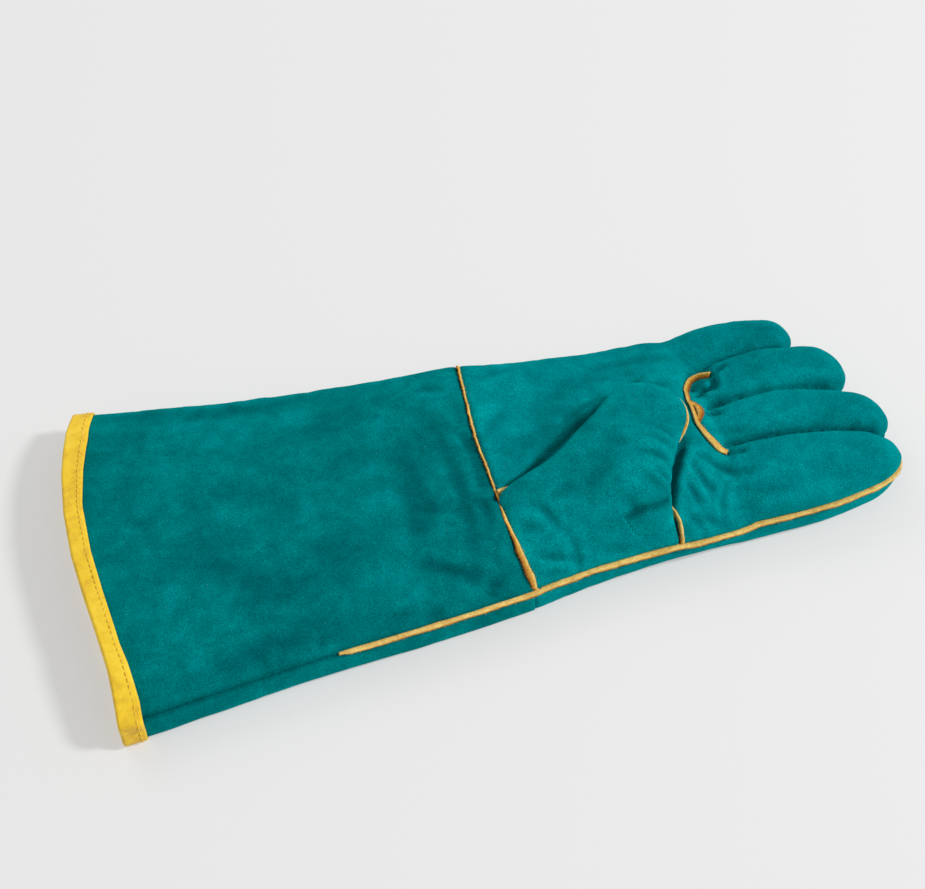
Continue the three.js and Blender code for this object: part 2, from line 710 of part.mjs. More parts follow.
add('cuff_palm', cuffPalmSide.subtract(sideSlots), leather);
add('cuff_back', cuffBackSide.subtract(sideSlots), leather);
add('palm', palm.subtract(sideSlots), leather);
add('finger_fronts', fingerFronts, leather);
add('hand_back', backSide.subtract(sideSlots), leather);
add('thumb_upper', thumbUpper.subtract(sideSlots), leather);
add('thumb_under', thumbUnder, leather);
add('hem_binding', hemBinding(), binding);
add('side_welt_near', sideWelt(indexFinger, -1), piping);
add('side_welt_far', sideWelt(littleFinger, 1), piping);
add('wrist_welt', wristWelt(), piping);
add('finger_welt', standingWelt(fingerWeltLine), piping);
add('thumb_base_welt', thumbBaseWelt(), piping);
add('thumb_welt', thumbWelt(), piping);

// The origin is under the middle of the glove.
gauntlet.position.x = (cuffLength + hemFloor - palmLength - fingerLength) / 2;

export default gauntlet;
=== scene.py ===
import math

import bmesh
import bpy
import numpy as np
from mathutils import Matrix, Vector
from mathutils.bvhtree import BVHTree
from mathutils.kdtree import KDTree


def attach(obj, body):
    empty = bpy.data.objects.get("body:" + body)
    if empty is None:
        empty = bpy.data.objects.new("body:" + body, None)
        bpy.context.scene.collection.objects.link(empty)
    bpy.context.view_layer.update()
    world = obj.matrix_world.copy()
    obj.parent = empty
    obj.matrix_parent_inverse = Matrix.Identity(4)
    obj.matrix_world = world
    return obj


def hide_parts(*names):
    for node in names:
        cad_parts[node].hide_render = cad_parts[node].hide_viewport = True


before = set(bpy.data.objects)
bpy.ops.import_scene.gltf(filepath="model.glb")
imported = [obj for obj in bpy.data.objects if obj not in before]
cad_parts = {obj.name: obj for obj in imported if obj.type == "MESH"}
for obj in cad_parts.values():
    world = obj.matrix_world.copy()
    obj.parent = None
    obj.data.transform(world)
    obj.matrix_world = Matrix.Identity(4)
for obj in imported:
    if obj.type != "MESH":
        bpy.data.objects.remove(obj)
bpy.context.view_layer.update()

print("frame loaded")

# Sizes are millimetres here, along the glove's own axes, and become metres when a mesh is made.
glove = {
    "cuffLength": 200.5, "palmLength": 118, "fingerLength": 89.5,
    "hemWidth": 188, "wristWidth": 150, "palmWidth": 130, "handShift": 4,
    "hemHeight": 25, "wristHeight": 28, "palmHeight": 29, "fingerHeight": 28,
    "sideHeight": 15.5, "nearSeam": 15.5, "farSeam": 8.5,
    "wall": 2.4, "hemBow": 16, "wristBow": 5.5, "hemFloor": 1.4,
    "topFullness": 2.2, "baseFullness": 3.6, "cuffBaseFullness": 6, "cuffSpread": 3.5,
}
shiftX = (glove["cuffLength"] + glove["hemFloor"] - glove["palmLength"] - glove["fingerLength"]) / 2

# along from hem to wrist, flare from wrist width to hem width, rise from hem height to wrist height
cuffRows = [
    (0.0, 1.0, 0.0), (0.075, 0.93, 0.05), (0.22, 0.74, 0.25), (0.41, 0.48, 0.55),
    (0.56, 0.34, 0.75), (0.72, 0.22, 0.9), (0.87, 0.1, 1.0), (1.0, 0.0, 1.0),
]
# across the mouth, and how far its edge is set back
hemRows = [
    (-1.0, 0.74), (-0.9, 0.74), (-0.8, 0.72), (-0.69, 0.68), (-0.48, 0.5), (-0.26, 0.29), (0.0, 0.08),
    (0.28, 0.0), (0.54, 0.06), (0.69, 0.17), (0.84, 0.32), (1.0, 0.6),
]
# along from wrist to crotch, flare from palm width to wrist width, rise as a share of palm height
handRows = [
    (0.0, 1.0, 28 / 29), (0.13, 0.72, 0.98), (0.25, 0.48, 1.0), (0.42, 0.26, 1.0),
    (0.62, 0.08, 1.0), (0.8, 0.03, 1.0), (0.92, -0.08, 0.95), (1.0, -0.25, 0.84),
]
fingers = {
    "index": {"point": 0.85, "reach": 0.958, "height": 1.03, "spread": 3,
              "across": (-0.3, -0.302, -0.31), "width": (0.345, 0.31, 0.155)},
    "middle": {"point": 0.55, "reach": 1.0, "height": 1.0, "spread": 0,
              "across": (-0.032, -0.036, -0.122), "width": (0.19, 0.232, 0.2)},
    "ring": {"point": 0.55, "reach": 0.904, "height": 1.0, "spread": 0,
              "across": (0.158, 0.19, 0.142), "width": (0.19, 0.228, 0.212)},
    "little": {"point": 0.55, "reach": 0.71, "height": 0.93, "spread": 0,
              "across": (0.372, 0.394, 0.38), "width": (0.215, 0.2, 0.178)},
}
# the thumb from its root to its tip: along, across, turn, girth, low, high, over, tilt
thumb = {
    "base": 80, "reach": 79, "width": 42, "height": 19, "seamShare": 0.28, "rest": 0.6, "fullness": 2.1,
    "rows": [
        (0.52, 0.11, 92, 1.72, 0.2, 0.66, 0.0, 0.0), (0.5, 0.19, 90, 1.86, 0.28, 0.88, 0.0, 0.02),
        (0.49, 0.285, 80, 1.94, 0.5, 1.0, 0.14, 0.03), (0.5, 0.372, 68, 1.96, 0.78, 1.0, 0.42, 0.02),
        (0.67, 0.475, 58, 1.43, 1.0, 1.0, 0.84, 0.02), (0.795, 0.61, 54, 1.2, 1.0, 1.0, 1.0, 0.0),
        (0.93, 0.755, 51, 1.05, 1.0, 1.0, 1.0, 0.0), (1.03, 0.865, 50, 0.98, 1.0, 1.0, 0.95, 0.0),
    ],
}
# broad hollows of the palm side: along, across, long, wide, depth, turn
hollows = [
    (-1.1, -0.05, 0.5, 0.2, 0.06, 8), (-0.32, 0.12, 0.26, 0.16, 0.07, -12), (-0.5, -0.42, 0.25, 0.07, 0.09, 12),
    (0.1, -0.38, 0.2, 0.08, 0.12, 35), (0.3, 0.26, 0.4, 0.1, 0.07, 24), (0.9, -0.26, 0.1, 0.05, 0.13, 60),
    (1.0, 0.19, 0.06, 0.045, 0.22, 30),
]


def blend(a, b, share):
    return a + (b - a) * share


def smoothRows(rows, value):  # a table at any value of its first column, without kinks
    rows = np.asarray(rows, float)
    xs, ys = rows[:, 0], rows[:, 1:]
    slopes = np.gradient(ys, xs, axis=0)
    v = np.clip(value, xs[0], xs[-1])
    i = int(np.clip(np.searchsorted(xs, v) - 1, 0, len(xs) - 2))
    h = xs[i + 1] - xs[i]
    t = (v - xs[i]) / h
    low = (2 * t**3 - 3 * t**2 + 1) * ys[i] + (t**3 - 2 * t**2 + t) * h * slopes[i]
    return low + (-2 * t**3 + 3 * t**2) * ys[i + 1] + (t**3 - t**2) * h * slopes[i + 1]


def softNoise(points, size, seed):  # smooth noise from -1 to 1, size in millimetres
    grid = np.random.default_rng(seed).uniform(-1, 1, (24, 24, 24))
    p = points / size
    cell = np.floor(p).astype(int)
    f = p - cell
    f = f * f * (3 - 2 * f)
    total = 0
    for corner in np.ndindex(2, 2, 2):
        i = (cell + corner) % 24
        weight = np.prod(np.where(np.array(corner) == 1, f, 1 - f), axis=1)
        total = total + weight * grid[i[:, 0], i[:, 1], i[:, 2]]
    return total


# the side seams' height falls from the near side to the far one
seamSlope = (glove["farSeam"] - glove["nearSeam"]) / glove["palmWidth"]


def seamAt(y):
    return glove["nearSeam"] + seamSlope * (y + glove["palmWidth"] / 2)


def hollowAt(x, y):
    drop = np.zeros_like(x)
    for along, across, long, wide, depth, turn in hollows:
        c, s = math.cos(math.radians(turn)), math.sin(math.radians(turn))
        dx, dy = x - along * glove["palmLength"], y - glove["handShift"] - across * glove["palmWidth"]
        u, v = (dx * c + dy * s) / (long * glove["palmWidth"]), (dy * c - dx * s) / (wide * glove["palmWidth"])
        drop = drop + depth * glove["palmHeight"] * np.exp(-u * u - v * v)
    return drop


def hemBack(y):
    return np.interp(2 * y / glove["hemWidth"], *np.array(hemRows).T) * glove["hemBow"]


def wristBack(y):
    share = np.clip(np.abs(2 * (y - glove["handShift"])) / glove["wristWidth"], 0, 1)
    return glove["wristBow"] * share**2


def bowed(points):  # the mouth and the wrist seam are curved
    x, y = points[:, 0], points[:, 1]
    fromWrist = np.clip(-x / glove["cuffLength"], 0, 1)
    fading = np.clip(1 - np.abs(x) / thumb["base"], 0, 1)
    out = points.copy()
    out[:, 0] += hemBack(y) * fromWrist**2 + wristBack(y) * fading
    return out


def section(s, angles):  # points round one section of a tube
    side, up = np.cos(angles), np.sin(angles)
    under = up < -1e-9
    power = 2 / np.where(under, s.get("base", glove["baseFullness"]), s.get("full", glove["topFullness"]))
    reach = np.where(under, s["seam"] - s["bottom"], s["top"] - s["seam"])
    spread = np.where(under, s.get("spread", 0) * side * np.minimum(1, -2 * up), 0)
    r = s.get("round", 1)
    width = (s["half"] * np.sign(side) * np.abs(side) ** power + spread) * r
    z = s["seam"] + reach * np.sign(up) * np.abs(up) ** power * r
    z = np.maximum(z + s.get("tilt", 0) * width, s.get("floor", 0))
    turn = s.get("turn", 0)
    x, y = s["x"] - math.sin(turn) * width, s["y"] + math.cos(turn) * width
    z = z - np.where(under, 0, hollowAt(x, y) * np.minimum(1, 2 * np.abs(up)) * s.get("folded", 1))
    return np.stack([x, y, z], axis=1)


def cuffSection(along):
    flare, rise = smoothRows(cuffRows, along)
    return {
        "x": (along - 1) * glove["cuffLength"], "y": glove["handShift"] * along**4,
        "half": blend(glove["wristWidth"], glove["hemWidth"], flare) / 2 - glove["hemFloor"],
        "spread": glove["cuffSpread"], "base": glove["cuffBaseFullness"], "bottom": -glove["wall"],
        "seam": glove["sideHeight"],
        "top": blend(glove["hemHeight"], glove["wristHeight"], rise) - glove["hemFloor"] * (1 - along),
        "floor": glove["hemFloor"] * float(np.clip(1.6 - along * glove["cuffLength"] / 20, 0, 1)),
    }


def handSection(along):
    flare, rise = smoothRows(handRows, max(along, 0))
    a = max(along, 0)
    return {
        "x": along * glove["palmLength"], "y": glove["handShift"],
        "half": blend(glove["palmWidth"], glove["wristWidth"], flare) / 2 - glove["hemFloor"] * (1 - a),
        "spread": blend(glove["cuffSpread"], 0, a), "base": blend(glove["cuffBaseFullness"], glove["baseFullness"], a),
        "bottom": -glove["wall"], "seam": glove["sideHeight"], "top": rise * glove["palmHeight"],
    }


def fingerSection(finger, x):
    share = float(np.clip((x - glove["palmLength"]) / (finger["reach"] * glove["fingerLength"]), 0, 1))
    t = float(np.clip((x - glove["palmLength"] + 15) / 34, 0, 1))
    rise = blend(0.75, 1, t * t * (3 - 2 * t))
    across, width = smoothRows(list(zip((0, 0.5, 1), finger["across"], finger["width"])), share)
    return {
        "x": x, "y": glove["handShift"] + across * glove["palmWidth"], "half": width * glove["palmWidth"] / 2,
        "spread": finger["spread"] * (1 - share), "bottom": -glove["wall"], "seam": glove["sideHeight"],
        "top": finger["height"] * glove["fingerHeight"] * rise,
        "full": blend(2.5, 4.0, float(np.clip((x - glove["palmLength"] + 12) / 26, 0, 1))) - 1.3 * share**3,
    }


def tipRound(angle):  # how a closed end narrows towards its very tip
    return max(math.cos(angle), 1e-6) ** 0.85


def fingerSections(finger):
    tip = glove["palmLength"] + finger["reach"] * glove["fingerLength"]
    depth = finger["point"] * finger["width"][2] * glove["palmWidth"]
    rows = [fingerSection(finger, x) for x in np.linspace(glove["palmLength"] - 26, tip - depth, 36)]
    for angle in np.linspace(0, math.pi / 2, 14)[1:]:
        rows.append({**fingerSection(finger, tip - depth + depth * math.sin(angle)), "round": tipRound(angle)})
    return rows


def nearEdge(x):
    s = handSection(x / glove["palmLength"])
    return s["y"] - s["half"]


def thumbSection(t):  # t runs from 0 at the root to 1 at the start of the tip
    table = [(i / (len(thumb["rows"]) - 1), *row) for i, row in enumerate(thumb["rows"])]
    along, across, turn, girth, low, high, over, tilt = smoothRows(table, t)
    bottom = low * glove["palmHeight"] + thumb["rest"] * float(np.clip((low - 0.5) * 2, 0, 1))
    top = high * glove["palmHeight"] + over * (thumb["height"] + thumb["rest"])
    return {
        "x": along * thumb["base"], "y": nearEdge(0.5 * thumb["base"]) + across * thumb["reach"],
        "turn": math.radians(turn), "half": girth * thumb["width"] / 2, "bottom": bottom, "top": top,
        "seam": (bottom + top) / 2, "tilt": -tilt, "full": thumb["fullness"], "folded": 0, "floor": glove["wall"],
    }


def thumbSections():
    rows = [thumbSection(t) for t in np.linspace(0, 1, 50)]
    last, depth = rows[-1], 0.42 * thumb["width"]
    for angle in np.linspace(0, math.pi / 2, 14)[1:]:
        step = depth * math.sin(angle)
        x, y = last["x"] + math.cos(last["turn"]) * step, last["y"] + math.sin(last["turn"]) * step
        rows.append({**last, "x": x, "y": y, "round": tipRound(angle)})
    return rows


def meshObject(name, points, faces):
    mesh = bpy.data.meshes.new(name)
    place = (np.asarray(points) + (shiftX, 0, 0)) / 1000
    mesh.from_pydata(place.tolist(), [], [tuple(f) for f in faces])
    mesh.update()
    obj = bpy.data.objects.new(name, mesh)
    bpy.context.collection.objects.link(obj)
    return obj


def gridFaces(rows, columns, closed=False):
    faces = []
    last = columns if closed else columns - 1
    for i in range(rows - 1):
        for j in range(last):
            k = (j + 1) % columns
            faces.append((i * columns + j, i * columns + k, (i + 1) * columns + k, (i + 1) * columns + j))
    return faces


def tube(sections, facets=96):  # a closed tube through sections
    angles = np.linspace(0, 2 * math.pi, facets, endpoint=False)
    points = np.vstack([section(s, angles) for s in sections])
    faces = gridFaces(len(sections), facets, True)
    end = (len(sections) - 1) * facets
    return points, faces + [tuple(range(facets))[::-1], tuple(range(end, end + facets))]


def pointsOf(mesh):
    flat = np.empty(len(mesh.vertices) * 3)
    mesh.vertices.foreach_get("co", flat)
    return flat.reshape(-1, 3) * 1000 - (shiftX, 0, 0)


def setPoints(mesh, points):
    mesh.vertices.foreach_set("co", ((points + (shiftX, 0, 0)) / 1000).ravel())
    mesh.update()


def normalsOf(mesh):
    flat = np.empty(len(mesh.vertices) * 3)
    mesh.vertices.foreach_get("normal", flat)
    return flat.reshape(-1, 3)


def smoothed(mesh, rounds, strength=0.5, mask=None):  # evens out the mesh without moving its masked points
    edges = np.empty(len(mesh.edges) * 2, int)
    mesh.edges.foreach_get("vertices", edges)
    a, b = edges.reshape(-1, 2).T
    points, count = pointsOf(mesh), len(mesh.vertices)
    degree = np.bincount(np.concatenate([a, b]), minlength=count)[:, None]
    for _ in range(rounds):
        total = np.zeros_like(points)
        for axis in range(3):
            total[:, axis] = np.bincount(a, points[b, axis], count) + np.bincount(b, points[a, axis], count)
        step = (total / np.maximum(degree, 1) - points) * strength
        points = points + (step if mask is None else step * mask[:, None])
    setPoints(mesh, points)


def applied(obj):  # the object's mesh with its modifiers worked in
    graph = bpy.context.evaluated_depsgraph_get()
    mesh = bpy.data.meshes.new_from_object(obj.evaluated_get(graph), preserve_all_data_layers=True, depsgraph=graph)
    obj.modifiers.clear()
    obj.data = mesh
    return obj


def fused(name, parts, voxel):  # one closed skin round several tubes
    points = np.vstack([p for p, _ in parts])
    faces, start = [], 0
    for p, fs in parts:
        faces += [tuple(v + start for v in f) for f in fs]
        start += len(p)
    obj = meshObject(name, points, faces)
    remesh = obj.modifiers.new("skin", "REMESH")
    remesh.mode, remesh.voxel_size = "VOXEL", voxel / 1000
    return applied(obj)


def facedOut(obj):  # faces point outwards and look smooth
    work = bmesh.new()
    work.from_mesh(obj.data)
    bmesh.ops.recalc_face_normals(work, faces=work.faces[:])
    work.to_mesh(obj.data)
    work.free()
    obj.data.shade_smooth()
    return obj


def shell(obj, thickness):
    solid = obj.modifiers.new("leather", "SOLIDIFY")
    solid.thickness, solid.offset = thickness / 1000, -1
    applied(obj)
    obj.data.shade_smooth()
    return obj


def distances(points, line, count=400):  # from each point to a polyline, with the place along it
    line = np.asarray(line, float)
    lengths = np.concatenate([[0], np.cumsum(np.linalg.norm(np.diff(line, axis=0), axis=1))])
    spots = np.linspace(0, lengths[-1], count)
    dense = np.stack([np.interp(spots, lengths, line[:, k]) for k in range(3)], axis=1)
    tree = KDTree(count)
    for i, p in enumerate(dense):
        tree.insert(p, i)
    tree.balance()
    found = [tree.find(p) for p in points]
    return np.array([f[2] for f in found]), np.array([f[1] for f in found]) / (count - 1)


def attribute(mesh, name, values):
    layer = mesh.attributes.new(name, "FLOAT", "POINT")
    layer.data.foreach_set("value", np.asarray(values, np.float32))


# strokes on the palm side in plan: from, to, bend, width and depth
creases = {
    "ridge": 0.4,
    "strokes": [
        ((-4.5, 46), (-9, -54), 2, 3.4, 1.3), ((-20, 30), (-18, -56), 4, 5.0, 1.3),
        ((-38, 28), (-44, -46), 4, 8, 0.8), ((-52, -44), (-12, -66), 3, 4.0, 1.0),
        ((-40, -8), (-12, -26), -3, 4.0, 0.8), ((-64, -70), (-30, -78), 2, 3.4, 0.8),
        ((-12, 30), (-3, 8), 2, 2.4, 0.8), ((-14, -14), (-5, -34), 2, 2.4, 0.8),
        ((-140, 20), (-100, 6), 4, 7, 0.6), ((-170, 84), (-70, 70), -4, 6.0, 0.8),
        ((-88, 21), (-28, 18), 3, 7.0, 0.5), ((-151, -18), (-102, -54), 5, 9, 0.6),
        ((-152, -80), (-93, -70), 3, 7.0, 0.9), ((-97.3, -83), (-94.5, -72), 1, 2.0, 1.1),
        ((-50, -84), (-42, -66), -2, 3.4, 0.6), ((-182, -30), (-140, -18), 5, 8.0, 0.5),
        ((-17, -71), (-2, -58), 2, 3, 0.9), ((-120, 40), (-60, 52), -4, 8, 0.5),
        ((-130, -45), (-70, -22), -5, 10, 0.5), ((-24, 60), (-4, 54), 2, 3, 0.7),
        ((55, 56), (118, 51), -3, 3.2, 0.7), ((30, 30), (80, 46), 4, 5.0, 0.6),
        ((12, 8), (40, 22), -4, 5.0, 0.6), ((84, 34), (108, 30), -2, 2.6, 0.8), ((6, 58), (34, 62), 2, 3, 0.6),
        ((4, 20), (22, 34), 2, 3, 0.6), ((97.5, -10), (87, -27), -0.8, 2.4, 3.6),
        ((88, -23), (77.5, -46), -0.8, 2.6, 4.4), ((-6, -22), (27, -5), -1.6, 2.2, 2.4),
        ((20, -9), (55, 15), -0.6, 1.8, 1.5), ((47, 10), (92, 37), -0.6, 1.9, 2.4),
        ((96, -22), (103, -42), 1.5, 2.2, 1.4), ((102, -18), (116, -33), 2, 2.0, 0.9),
        ((90, -32), (94, -47), 1, 2.0, 1.3), ((111, -37), (103, -57), -2, 1.8, 0.8),
        ((88, -52), (104, -60), 2, 2.6, 0.8), ((112, -26), (128, -34), -2, 2.4, 0.8),
        ((90, -64), (100, -78), 2, 2.4, 0.6), ((116, -46), (140, -52), 3, 4, 0.4),
        ((86, -48), (92, -62), 1, 1.8, 0.7), ((127, 29), (125.6, 22), 1.0, 1.9, 2.6),
        ((126.5, 23), (117, 21.6), -1.4, 1.9, 2.4), ((115, 10), (125, 6), -0.6, 1.8, 1.6),
        ((128, 30), (137, 34), 0.8, 1.6, 1.6), ((119, -19), (127, -21), 0.2, 1.8, 1.6),
        ((120, 12), (132, 14), 1, 2.4, 0.6), ((118, -4), (134, -9), -1, 2.6, 0.6),
        ((120, -12), (128, -15), 0.5, 2, 0.5),
    ],
}
# strokes on the thumb
thumbCreases = {
    "ridge": 0.45,
    "strokes": [
        ((70, -15), (86, -25), 1.6, 1.8, 0.6), ((66, -24), (83, -34), 2.2, 2.0, 0.9),
        ((73, -33), (80, -41), -0.8, 1.5, 0.7), ((60, -33), (78, -47), 1.8, 2.4, 0.6),
        ((80, -10), (90, -19), -0.8, 1.6, 0.5), ((53, -10), (66, -28), 3, 5.0, 0.7),
        ((9, -29), (23, -48), 3, 2.4, 0.9), ((7, -52), (34, -60), -2, 2.4, 0.9),
        ((26, -40), (20, -76), 3, 2.4, 0.9), ((39, -56), (66, -57), -3, 2.6, 0.8),
        ((50, -38), (61, -52), 2, 3.0, 0.7), ((20, -33), (35, -31), 2, 2.6, 0.7),
        ((6, -64), (20, -66), 1, 2.2, 0.8), ((34, -72), (62, -64), -3, 3.2, 0.7),
        ((36, -34), (56, -14), -4, 5.0, 0.5), ((60, -6), (74, 6), 3, 4.0, 0.4),
        ((4, -38), (16, -44), 1, 2.4, 0.8), ((23, -70), (22, -80), 1, 1.6, 1.0),
        ((45, -74), (58, -76), 1, 2.4, 0.5),
    ],
}


def creased(points, work):  # how far the strokes sink each point, with a raised bank beside each
    drop = np.zeros(len(points))
    for start, end, bend, width, depth in work["strokes"]:
        a, b = np.array(start, float), np.array(end, float)
        middle = (a + b) / 2 + np.array([-(b - a)[1], (b - a)[0]]) / np.linalg.norm(b - a) * bend * 2
        t = np.linspace(0, 1, 24)[:, None]
        path = (1 - t) ** 2 * a + 2 * t * (1 - t) * middle + t**2 * b
        near = np.all(np.abs(points[:, :2] - (a + b) / 2) < np.linalg.norm(b - a) / 2 + abs(bend) + 4 * width, axis=1)
        gap = np.linalg.norm(points[near, None, :2] - path[None], axis=2)
        best = gap.argmin(axis=1)
        d, s = gap[np.arange(len(gap)), best], best / 23
        wave = np.exp(-((d / width) ** 2)) - work["ridge"] * np.exp(-(((d - 1.9 * width) / width) ** 2))
        drop[near] += depth * wave * np.sin(np.pi * np.clip(s, 0.04, 0.96)) ** 0.7
    return drop


def rumple(points, amount):  # uneven soft leather: broad swells with finer puckers
    broad = softNoise(points, 34, 5) + 0.5 * softNoise(points, 17, 6)
    fine = softNoise(points * (1, 1.5, 1), 7.5, 7) + 0.6 * softNoise(points, 4, 8)
    warped = points + 5 * np.stack([softNoise(points, 26, 11), softNoise(points, 26, 12), 0 * points[:, 0]], axis=1)
    valley = np.abs(softNoise(warped * (1, 0.62, 1), 13, 9)) ** 0.7
    valley = valley + 0.5 * np.abs(softNoise(warped * (0.8, 1, 1), 6.5, 10)) ** 0.7
    return amount * (0.5 * broad + 0.12 * fine + 0.42 * (valley - 0.75))


cuff = {"step": 1.5, "around": 124, "seamDip": 1.2, "seamWidth": 1.15, "wristDip": 0.7,
        "rumple": 1.35, "baseRumple": 0.4, "calmFromHem": 9, "calmReach": 16, "wristGap": 0.5, "plainGap": 0.1}
seamShadeReach = 1.5  # how far the painted shade along seams, finger gaps and crevices reaches


def cuffArc(along, upper):  # one panel's section, from its near seam to its far one
    loop = section(cuffSection(along), np.linspace(0, 2 * math.pi, 2880, endpoint=False))
    above = loop[:, 2] - seamAt(loop[:, 1]) > 0
    keep = above if upper else ~above
    edge = np.flatnonzero(keep & ~np.roll(keep, 1))[0]
    arc = np.roll(loop, -edge, axis=0)[: keep.sum()]
    if arc[0, 1] > arc[-1, 1]:
        arc = arc[::-1]
    lengths = np.concatenate([[0], np.cumsum(np.linalg.norm(np.diff(arc, axis=0), axis=1))])
    spots = np.linspace(0, lengths[-1], cuff["around"])
    arc = np.stack([np.interp(spots, lengths, arc[:, k]) for k in range(3)], axis=1)
    for end in (0, -1):
        arc[end, 2] = seamAt(arc[end, 1])
    return arc


def cuffPanel(name, upper, toWrist):
    count = int(glove["cuffLength"] / cuff["step"])
    alongs = np.linspace(0, 1, count)
    points = np.vstack([cuffArc(a, upper) for a in alongs])
    points[:, 0] = blend(-glove["cuffLength"], -toWrist, np.repeat(alongs, cuff["around"]))
    faces = gridFaces(count, cuff["around"])
    if upper:
        faces = [f[::-1] for f in faces]
    obj = meshObject(name, bowed(points), faces)
    mesh = obj.data
    # the panel's edges are drawn in along its seams
    points, normals = pointsOf(mesh), normalsOf(mesh)
    grid = points.reshape(count, cuff["around"], 3)
    fromSides = [np.linalg.norm(grid - grid[:, k], axis=2) for k in (slice(0, 1), slice(-1, None))]
    fromSeam = np.minimum(*fromSides).ravel()
    fromWrist = (grid[-1:, :, 0] - grid[..., 0]).ravel()
    fromHem = (grid[..., 0] - grid[:1, :, 0]).ravel()
    edge = np.exp(-((fromSeam / cuff["seamWidth"]) ** 2)) * cuff["seamDip"] * (0.8 + 0.25 * softNoise(points, 9, 21))
    if upper:
        edge += cuff["wristDip"] * np.exp(-((fromWrist / cuff["seamWidth"]) ** 2)) * np.clip(fromSeam / 8, 0, 1)
    calm = np.clip((fromHem - cuff["calmFromHem"]) / cuff["calmReach"], 0, 1) * np.clip(fromSeam / 10, 0.25, 1)
    lift = rumple(points, cuff["rumple"] if upper else cuff["baseRumple"]) * calm
    drop = creased(points, creases) * calm if upper else 0
    points = points + normals * (lift - edge - drop)[:, None]
    points[:, 2] = np.maximum(points[:, 2], np.where(fromHem < 14, glove["hemFloor"], 0.02))
    setPoints(mesh, points)
    # painted shade: the seam attribute darkens the leather's colour along its sunk seams, where shade falls
    attribute(mesh, "seam", np.exp(-((np.minimum(fromSeam, fromWrist if upper else 99) / seamShadeReach) ** 2)))
    # the fold attribute carries crease depth for painted shade in creases and painted highlight on their banks
    attribute(mesh, "fold", drop + np.zeros(len(points)))
    return shell(obj, glove["wall"])


cuffPalm = cuffPanel("cuff_palm_leather", True, cuff["wristGap"])
cuffBack = cuffPanel("cuff_back_leather", False, cuff["plainGap"])
print("cuff made")


hand = {"voxel": 1.05, "smooth": 7, "seamDip": 1.4, "seamWidth": 1.5, "weltWidth": 1.9,
        "baseDip": 0.6, "wristDip": 0.8, "gapDip": 1.5, "gapWidth": 1.0, "rumple": 1.15,
        "wristGap": 0.5, "plainGap": 0.12, "snap": 0.62, "topFrom": 17}
crotchShare, rootShare = 0.22, 0.62  # where the thumb's seam starts and ends across the hand
# the finger welt in plan, from its hooked end round the two middle fingers
weltRows = [
    (127.5, 32.0), (123.6, 34.8), (119.0, 34.6), (115.0, 30.4), (112.4, 23.0), (110.2, 15.2), (110.2, 9.6),
    (109.8, 4.4), (109.4, 0.4), (110.8, -5.4), (112.8, -10.8), (115.4, -15.4), (119.0, -18.6),
]


def along(line, count):  # evenly spaced points of a smooth line
    line = np.asarray(line, float)
    t = np.concatenate([[0], np.cumsum(np.linalg.norm(np.diff(line, axis=0), axis=1))])
    dense = np.array([smoothRows(np.column_stack([t, line]), v) for v in np.linspace(0, t[-1], count * 8)])
    t = np.concatenate([[0], np.cumsum(np.linalg.norm(np.diff(dense, axis=0), axis=1))])
    spots = np.linspace(0, t[-1], count)
    return np.stack([np.interp(spots, t, dense[:, k]) for k in range(dense.shape[1])], axis=1)


weltPlan = along(weltRows, 90)


def gapPlan(near, far, start):  # the line between two fingers in plan
    rows = []
    for share in np.linspace(start, 1.2, 20):
        x = glove["palmLength"] + share * glove["fingerLength"]
        a, b = fingerSection(near, x), fingerSection(far, x)
        rows.append((x, (a["y"] + a["half"] + b["y"] - b["half"]) / 2))
    return np.array(rows)


gapLines = [gapPlan(fingers[a], fingers[b], start)
            for a, b, start in (("index", "middle", 0.0), ("middle", "ring", 0.0), ("ring", "little", 0.11))]


def cut(mesh, place, normal, clear=False):  # cuts a mesh along a plane given in millimetres
    work = bmesh.new()
    work.from_mesh(mesh)
    spot = (np.asarray(place, float) + (shiftX, 0, 0)) / 1000
    bmesh.ops.bisect_plane(work, geom=work.verts[:] + work.edges[:] + work.faces[:], dist=1e-7,
                           plane_co=spot, plane_no=normal, clear_inner=clear)
    work.to_mesh(mesh)
    work.free()
    mesh.update()


def keepFaces(source, name, test):  # a new object with the faces whose middles pass the test
    obj = bpy.data.objects.new(name, source.copy())
    bpy.context.collection.objects.link(obj)
    work = bmesh.new()
    work.from_mesh(obj.data)
    work.faces.ensure_lookup_table()
    middles = np.array([f.calc_center_median() for f in work.faces]) * 1000 - (shiftX, 0, 0)
    drop = [f for f, ok in zip(work.faces, test(middles)) if not ok]
    bmesh.ops.delete(work, geom=drop, context="FACES")
    loose = [v for v in work.verts if not v.link_faces]
    bmesh.ops.delete(work, geom=loose, context="VERTS")
    work.to_mesh(obj.data)
    work.free()
    return obj


seamPlane = ((0, -glove["palmWidth"] / 2, glove["nearSeam"]), (0, -seamSlope, 1))
crotchA = np.array([thumb["base"], nearEdge(thumb["base"]) + crotchShare * thumb["reach"]])
crotchB = np.array([0, nearEdge(0) + rootShare * thumb["reach"]])
crotchNormal = np.array([-(crotchB - crotchA)[1], (crotchB - crotchA)[0]])
crotchNormal = crotchNormal / np.linalg.norm(crotchNormal) * np.sign(crotchNormal @ (0, 1))


def inBase(points, grow=0.0):  # in the hand's near side, which belongs to the thumb
    return (points[:, 0] < thumb["base"] + grow) & ((points[:, :2] - crotchA) @ crotchNormal < grow)


palmTube = tube([handSection(a) for a in np.linspace(-0.14, 1, 70)], 160)
handSkin = fused("hand_skin", [palmTube] + [tube(fingerSections(f)) for f in fingers.values()], hand["voxel"])
smoothed(handSkin.data, hand["smooth"])


def bvhOf(mesh):
    work = bmesh.new()
    work.from_mesh(mesh)
    tree = BVHTree.FromBMesh(work)
    work.free()
    return tree


handTree = bvhOf(handSkin.data)
print("hand skin made")


